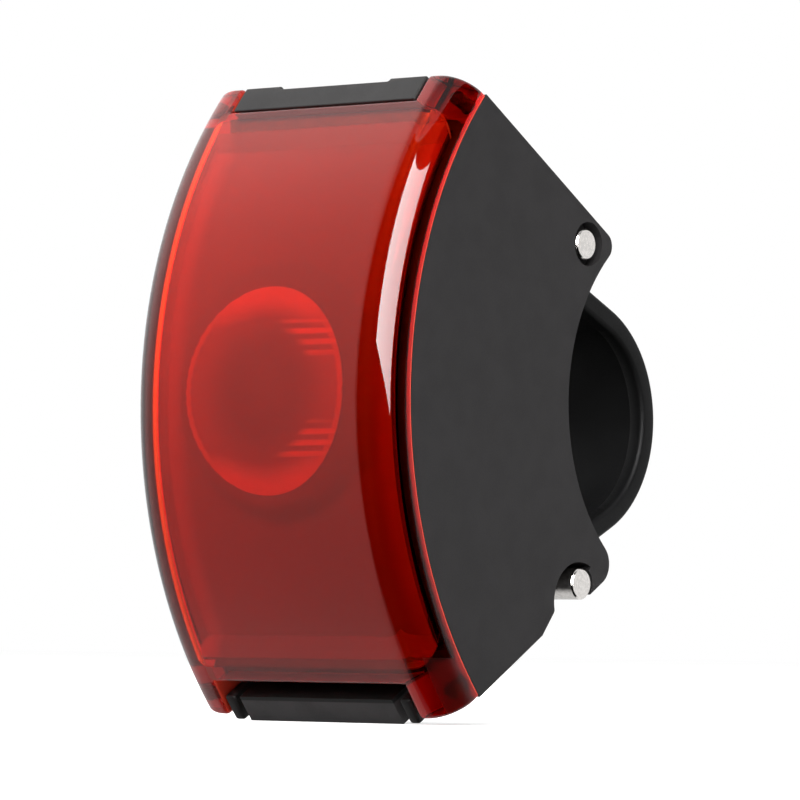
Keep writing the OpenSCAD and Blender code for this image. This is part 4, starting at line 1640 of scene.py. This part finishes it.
@dataclass
class Strap:
    """The rubber strap: a slack loop with an eye at each end, its edges rounded and its faces stepped.

    Sizes are in millimetres, as in the part's side view with Y to the right and Z up.
    """

    width: float = 17.4
    thickness: float = 1.7
    loop_at: Point2 = (-8.24, -1.03)
    loop_r: float = 8.1
    eye_r: float = 2.6
    eye_hole_r: float = 1.3
    pin_offset: float = 0.2
    hook_offset: float = -0.3
    edge_r: float = 0.38
    edge_steps: int = 5
    rim_w: float = 0.9
    step_w: float = 0.12
    step_d: float = 0.1
    arc_step: float = 3.0
    same_point: float = 0.02
    finish: MouldedFinish = MouldedFinish(
        "strap_rubber", (0.003, 0.003, 0.0032), 0.5, grain=0.16, depth=0.005, mottle=0.2, specular=0.15
    )

    def arc(self, middle: Point2, radius: float, start: float, end: float) -> list[Point2]:
        """Returns points along an arc.

        Args:
            middle: Centre of the arc.
            radius: Its radius.
            start: First angle in degrees.
            end: Last angle in degrees.

        Returns:
            The points, both ends included.
        """
        count = max(2, math.ceil(abs(end - start) / self.arc_step))
        angles = [math.radians(start + (end - start) * step / count) for step in range(count + 1)]
        return [(middle[0] + radius * math.cos(a), middle[1] + radius * math.sin(a)) for a in angles]

    def leg(self, bar: Point2, offset: float, side: int) -> tuple[float, list[Point2]]:
        """Traces one straight leg out to its eye, round the eye and back.

        Args:
            bar: Middle of the bar in the eye.
            offset: Distance from the bar's axis to the leg's outer face.
            side: 1 for the upper leg, -1 for the lower one.

        Returns:
            The angle at which the leg leaves the loop, in degrees, and the points from the outer face to
            the inner one.
        """
        outer_r = self.loop_r + self.thickness
        reach_y = bar[0] - self.loop_at[0]
        reach_z = bar[1] - self.loop_at[1]
        reach = math.hypot(reach_y, reach_z)
        swing = math.acos((outer_r + offset) / reach)
        turn = math.atan2(reach_z, reach_y) - side * swing
        length = math.sqrt(reach**2 - (outer_r + offset) ** 2)
        outward = (math.cos(turn), math.sin(turn))
        along = (-side * math.sin(turn), side * math.cos(turn))

        def at(out: float, on: float) -> Point2:
            """Returns the point at a distance out from the loop's centre and along the leg."""
            return (
                self.loop_at[0] + out * outward[0] + on * along[0],
                self.loop_at[1] + out * outward[1] + on * along[1],
            )

        inner_gap = self.thickness + offset
        outer_foot = math.sqrt(self.eye_r**2 - offset**2)
        inner_foot = math.sqrt(self.eye_r**2 - inner_gap**2)
        start = math.degrees(math.atan2(-outer_foot, -offset))
        end = math.degrees(math.atan2(-inner_foot, -inner_gap)) + 360
        local = self.arc((outer_r + offset, length), self.eye_r, start, end)
        return math.degrees(turn), [at(out, on) for out, on in local]

    def outline(self, pin: Point2, hook: Point2) -> list[Point2]:
        """Draws the strap's side view as one closed line, counterclockwise.

        Args:
            pin: Middle of the upper pin.
            hook: Middle of the hook bar.

        Returns:
            The line's points, none of them twice.
        """
        pin_turn, pin_leg = self.leg(pin, self.pin_offset, 1)
        hook_turn, hook_leg = self.leg(hook, self.hook_offset, -1)
        outer = self.arc(self.loop_at, self.loop_r + self.thickness, hook_turn, pin_turn)
        inner = self.arc(self.loop_at, self.loop_r, pin_turn, hook_turn)
        kept: list[Point2] = []
        for point in outer + pin_leg + inner + hook_leg[::-1]:
            if not kept or math.dist(point, kept[-1]) > self.same_point:
                kept.append(point)
        return kept if math.dist(kept[0], kept[-1]) > self.same_point else kept[:-1]

    def stations(self, stepped: bool) -> list[Point2]:
        """Lists places across the strap with how far its faces draw in there.

        Args:
            stepped: Whether the middle of the face lies a step below its rims.

        Returns:
            Pairs of place and inset, from one side to the other.
        """
        half = self.width / 2
        edge = []
        for step in range(self.edge_steps + 1):
            angle = math.pi / 2 * step / self.edge_steps
            edge.append((-half + self.edge_r * (1 - math.cos(angle)), self.edge_r * (1 - math.sin(angle))))
        if stepped:
            rim = -half + self.edge_r + self.rim_w
            edge += [(rim, 0), (rim + self.step_w, self.step_d)]
        return edge + [(-place, inset) for place, inset in reversed(edge)]

    def wall(self, bm: Mesh, line: list[Point2], stepped: bool) -> Edges:
        """Builds the faces that follow one closed line, with rounded edges.

        Args:
            bm: The mesh to add to.
            line: The line's points, with the solid on its left.
            stepped: Whether the middle lies a step below the rims.

        Returns:
            The open edges at both sides.
        """
        outwards = []
        for before, after in zip(line[-1:] + line[:-1], line[1:] + line[:1]):
            along = (Vector(after) - Vector(before)).normalized()
            outwards.append(Vector((along.y, -along.x)))
        rows = []
        for place, inset in self.stations(stepped):
            row = []
            for point, outward in zip(line, outwards):
                spot = Vector(point) - inset * outward
                row.append(bm.verts.new((place * MM, spot.x * MM, spot.y * MM)))
            rows.append(row)
        for near, far in zip(rows, rows[1:]):
            join(bm, near, far, closed=True)
        return edges_along(bm, rows[0], closed=True) + edges_along(bm, rows[-1], closed=True)

    def build(self) -> bpy.types.Object:
        """Builds the strap's mesh in place of its plain solid.

        Returns:
            The strap, bending between the housing and the hook bar.
        """
        pin = tuple(value / MM for value in centre("upper_pin"))
        hook = tuple(value / MM for value in centre("hook_bar"))
        bm = bmesh.new()
        rims = self.wall(bm, self.outline(pin, hook), stepped=True)
        for bar in (pin, hook):
            hole = self.arc(bar, self.eye_hole_r, 360, 0)[:-1]
            rims += self.wall(bm, hole, stepped=False)
        for side in (-1, 1):
            ring = [edge for edge in rims if edge.verts[0].co.x * side > 0]
            bmesh.ops.triangle_fill(bm, use_beauty=True, use_dissolve=False, edges=ring)
        strap = make_smooth(bm, "strap_loop", self.finish)
        normals = strap.modifiers.new("normals", "WEIGHTED_NORMAL")
        normals.weight = FACE_WEIGHT
        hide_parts("strap")
        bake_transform(strap)
        return strap

    def dress(self) -> list[str]:
        """Builds the strap and returns its name in a list."""
        return [self.build().name]


def towards(azimuth: float, elevation: float) -> Vector:
    """Turns two angles into a direction.

    Args:
        azimuth: Degrees from the front of the part towards its right side.
        elevation: Degrees above the level.

    Returns:
        The unit direction from the part.
    """
    turn = math.radians(azimuth)
    rise = math.radians(elevation)
    level = math.cos(rise)
    return Vector((math.sin(turn) * level, -math.cos(turn) * level, math.sin(rise)))


@dataclass(frozen=True)
class LitPaper:
    """A paper that glows."""

    name: str
    glow: float

    def material(self) -> bpy.types.Material:
        """Builds the paper as a node material and returns it."""
        shader = Shader(self.name)
        shader.give("Base Color", BLACK)
        shader.give("Specular IOR Level", 0.0)
        shader.give("Emission Color", WHITE)
        shader.give("Emission Strength", self.strength(shader))
        return shader.material

    def strength(self, shader: Shader) -> Socket | float:
        """Returns how brightly the paper glows, the same all over."""
        return self.glow


@dataclass(frozen=True)
class GradedPaper(LitPaper):
    """A paper whose glow changes between two azimuths to a far glow, and from bottom to top by two shares."""

    far_glow: float = 1.0
    azimuths: Point2 = (-90.0, 90.0)
    shares: Point2 = (1.0, 1.0)
    lift_span: Point2 = (-0.8, 1.0)

    def strength(self, shader: Shader) -> Socket:
        """Grades the paper's glow.

        Args:
            shader: The material being built.

        Returns:
            How brightly the paper glows at the shaded point.
        """
        at = shader.apart()
        azimuth = shader.sum("ARCTAN2", at[Axis.ACROSS], shader.times(at[Axis.BACK], -1.0))
        start, end = (math.radians(value) for value in self.azimuths)
        aside = shader.ramp(azimuth, start, end, self.glow, self.far_glow)
        return shader.times(aside, shader.ramp(at[Axis.UP], *self.lift_span, *self.shares))


@dataclass(frozen=True)
class Patch:
    """A sheet of paper round the part, given by the directions of its four corners.

    Each corner is an azimuth, from the front of the part towards its right side, and an elevation.
    """

    name: str
    corners: tuple[Point2, Point2, Point2, Point2]
    distance: float
    paper: LitPaper
    steps: int = 32

    def direction(self, across: float, up: float) -> Vector:
        """Returns the unit direction of a spot on the sheet.

        Args:
            across: Share of the way from the first corner to the second.
            up: Share of the way up to the other two.

        Returns:
            The direction from the part.
        """
        low = [a + (b - a) * across for a, b in zip(self.corners[0], self.corners[1])]
        high = [a + (b - a) * across for a, b in zip(self.corners[3], self.corners[2])]
        return towards(*(a + (b - a) * up for a, b in zip(low, high)))

    def build(self) -> None:
        """Builds the sheet as part of the studio, seen only in reflections."""
        shares = [step / self.steps for step in range(self.steps + 1)]
        bm = bmesh.new()
        rows = []
        for up in shares:
            rows.append([bm.verts.new(self.direction(across, up) * self.distance) for across in shares])
        for low, high in zip(rows, rows[1:]):
            join(bm, low, high)
        sheet = make_object(bm, self.name, self.paper.material())
        sheet.visible_camera = False
        sheet.visible_diffuse = False
        sheet.visible_transmission = False
        sheet.visible_shadow = False
        sheet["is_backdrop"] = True


@dataclass(frozen=True)
class SoftLamp:
    """A square soft lamp that points at the part, which the lens may let through or not."""

    name: str
    azimuth: float
    elevation: float
    distance: float
    size: float
    power: float
    through: bool = True

    def build(self) -> None:
        """Places the lamp."""
        data = bpy.data.lights.new(self.name, "AREA")
        data.energy = self.power
        data.size = self.size
        lamp = bpy.data.objects.new(self.name, data)
        away = towards(self.azimuth, self.elevation)
        lamp.location = away * self.distance
        lamp.rotation_euler = away.to_track_quat("Z", "Y").to_euler()
        lamp.visible_glossy = False
        lamp.visible_camera = False
        lamp.visible_transmission = self.through
        bpy.context.scene.collection.objects.link(lamp)


@dataclass
class Studio:
    """A white room with soft lamps, and sheets round the part that only reflections show.

    Lengths are in metres, but the size of the floor's speckle is in millimetres. Angles are in degrees.
    """

    ambient: float = 0.45
    sky: Point2 = (0.55, 3.1)
    sky_span: Point2 = (-0.45, 0.7)
    floor_reach: float = 6.0
    floor_colour: Colour = (0.82, 0.82, 0.82)
    floor_darker: float = 0.99
    floor_speckle: float = 50.0
    floor_roughness: float = 0.9
    floor_glow: float = 0.62
    sheets: tuple[Patch, ...] = (
        Patch(
            "softbox",
            ((21, 13), (70, -0.5), (78, 36), (19, 54)),
            1.0,
            GradedPaper("softbox_paper", 16, far_glow=11, azimuths=(20, 78)),
            steps=12,
        ),
        Patch(
            "left_wall",
            ((-150, -85), (-31, -85), (-31, 85), (-150, 85)),
            1.4,
            GradedPaper("left_paper", 1.0, far_glow=0.32, azimuths=(-72, -40), shares=(0.6, 1.35)),
        ),
        Patch(
            "back_wall",
            ((129, -85), (209, -85), (209, 85), (129, 85)),
            1.4,
            LitPaper("back_paper", 0.85),
        ),
        Patch(
            "ceiling",
            ((-38, 59), (128, 59), (128, 90), (-38, 90)),
            1.4,
            LitPaper("ceiling_paper", 0.55),
        ),
        Patch(
            "dark_screen",
            ((-33, -85), (128, -85), (128, 58), (-33, 58)),
            1.5,
            LitPaper("screen_paper", 0.0),
        ),
    )
    lamps: tuple[SoftLamp, ...] = (
        SoftLamp("key_lamp", 60, 45, 1.2, 0.8, 9),
        SoftLamp("left_lamp", -85, 18, 1.2, 0.9, 22, through=False),
        SoftLamp("top_lamp", -10, 70, 1.2, 0.9, 8),
    )
    camera_azimuth: float = 39.625
    camera_elevation: float = -2.682
    camera_roll: float = 0.819
    camera_distance: float = 0.44758
    camera_aside: float = -0.013271
    camera_lift: float = 0.00095
    camera_lens: float = 242.87
    camera_sensor: float = 36.0
    camera_clip: Point2 = (0.01, 50.0)

    def build_world(self) -> None:
        """Makes the room white where it is seen, an even light elsewhere, and a sky through the lens."""
        world = bpy.data.worlds.new("studio")
        bpy.context.scene.world = world
        world.use_nodes = True
        tree = world.node_tree
        light = tree.nodes["Background"]
        light.inputs["Color"].default_value = (*WHITE, 1)
        path = tree.nodes.new("ShaderNodeLightPath")
        place = tree.nodes.new("ShaderNodeTexCoord")
        split = tree.nodes.new("ShaderNodeSeparateXYZ")
        tree.links.new(place.outputs["Generated"], split.inputs["Vector"])
        choice = tree.nodes.new("ShaderNodeMix")
        tree.links.new(path.outputs["Is Transmission Ray"], choice.inputs["Factor"])
        room = self.graded(tree, self.seen(tree, path), (0, 1), (self.ambient, 1))
        tree.links.new(room, choice.inputs["A"])
        tree.links.new(self.graded(tree, split.outputs["Z"], self.sky_span, self.sky), choice.inputs["B"])
        tree.links.new(choice.outputs["Result"], light.inputs["Strength"])

    def graded(self, tree: bpy.types.NodeTree, source: Socket, span: Point2, levels: Point2) -> Socket:
        """Maps a span of a value evenly onto two levels.

        Args:
            tree: The node tree to add to.
            source: The value to map.
            span: The values that give the levels.
            levels: The levels.

        Returns:
            The mapped value.
        """
        node = tree.nodes.new("ShaderNodeMapRange")
        for name, value in zip(("From Min", "From Max", "To Min", "To Max"), (*span, *levels)):
            node.inputs[name].default_value = value
        tree.links.new(source, node.inputs["Value"])
        return node.outputs["Result"]

    def seen(self, tree: bpy.types.NodeTree, path: bpy.types.Node) -> Socket:
        """Tells camera and glossy rays from the rest.

        Args:
            tree: The node tree to add to.
            path: Its Light Path node.

        Returns:
            1 for those rays, 0 for others.
        """
        either = tree.nodes.new("ShaderNodeMath")
        either.operation = "MAXIMUM"
        for slot, kind in zip(either.inputs, ("Is Camera Ray", "Is Glossy Ray")):
            tree.links.new(path.outputs[kind], slot)
        return either.outputs["Value"]

    def build_floor(self, height: float) -> None:
        """Lays a pale floor that keeps the part's shadow.

        Args:
            height: Height of the floor.
        """
        shader = Shader("floor_white")
        darker = shade(self.floor_colour, self.floor_darker)
        speckle = shader.noise(self.floor_speckle)
        shader.give("Base Color", shader.mix(speckle, darker, self.floor_colour))
        shader.give("Roughness", self.floor_roughness)
        shader.give("Specular IOR Level", 0.0)
        shader.give("Emission Color", WHITE)
        path = shader.tree.nodes.new("ShaderNodeLightPath")
        shader.give("Emission Strength", shader.times(self.seen(shader.tree, path), self.floor_glow))
        bm = bmesh.new()
        reach = self.floor_reach
        signs = ((-1, -1), (1, -1), (1, 1), (-1, 1))
        bm.faces.new([bm.verts.new((x * reach, y * reach, height)) for x, y in signs])
        floor = make_object(bm, "floor", shader.material)
        floor.visible_glossy = False
        floor.visible_transmission = False
        floor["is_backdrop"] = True

    def build_camera(self) -> None:
        """Sets the camera at the picture's viewing angle."""
        back = towards(self.camera_azimuth, self.camera_elevation)
        flat_right = towards(self.camera_azimuth + 90, 0)
        flat_up = back.cross(flat_right)
        roll = math.radians(self.camera_roll)
        right = math.cos(roll) * flat_right + math.sin(roll) * flat_up
        up = math.cos(roll) * flat_up - math.sin(roll) * flat_right
        data = bpy.data.cameras.new("camera")
        data.sensor_width = self.camera_sensor
        data.lens = self.camera_lens
        data.clip_start, data.clip_end = self.camera_clip
        camera = bpy.data.objects.new("camera", data)
        turn = Matrix((right, up, back)).transposed().to_4x4()
        turn.translation = self.camera_distance * back + self.camera_aside * right + self.camera_lift * up
        camera.matrix_world = turn
        bpy.context.scene.collection.objects.link(camera)
        bpy.context.scene.camera = camera

    def build(self, floor_height: float) -> None:
        """Sets up the whole studio.

        Args:
            floor_height: Height of the floor.
        """
        self.build_camera()
        self.build_world()
        self.build_floor(floor_height)
        for fixture in self.sheets + self.lamps:
            fixture.build()
        bpy.context.scene.view_settings.view_transform = "Standard"


def clear_startup() -> None:
    """Removes what Blender's empty scene brings along."""
    for name in ("Cube", "Light", "Camera"):
        leftover = bpy.data.objects.get(name)
        if leftover:
            bpy.data.objects.remove(leftover)


def main() -> None:
    """Builds the studio on the floor under the pieces, dresses every piece and notes the names of the dressed
    pieces.
    """
    logging.basicConfig(level=logging.INFO)
    clear_startup()
    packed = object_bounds()
    Studio().build(packed[0].z)
    for assembly in (Housing(), Lens(), Lamp(), PortCover(), ButtonSet(), Electronics(), Bars(), Strap()):
        LOG.info("%s: %s", type(assembly).__name__, ", ".join(assembly.dress()))


if __name__ == "__main__":
    main()
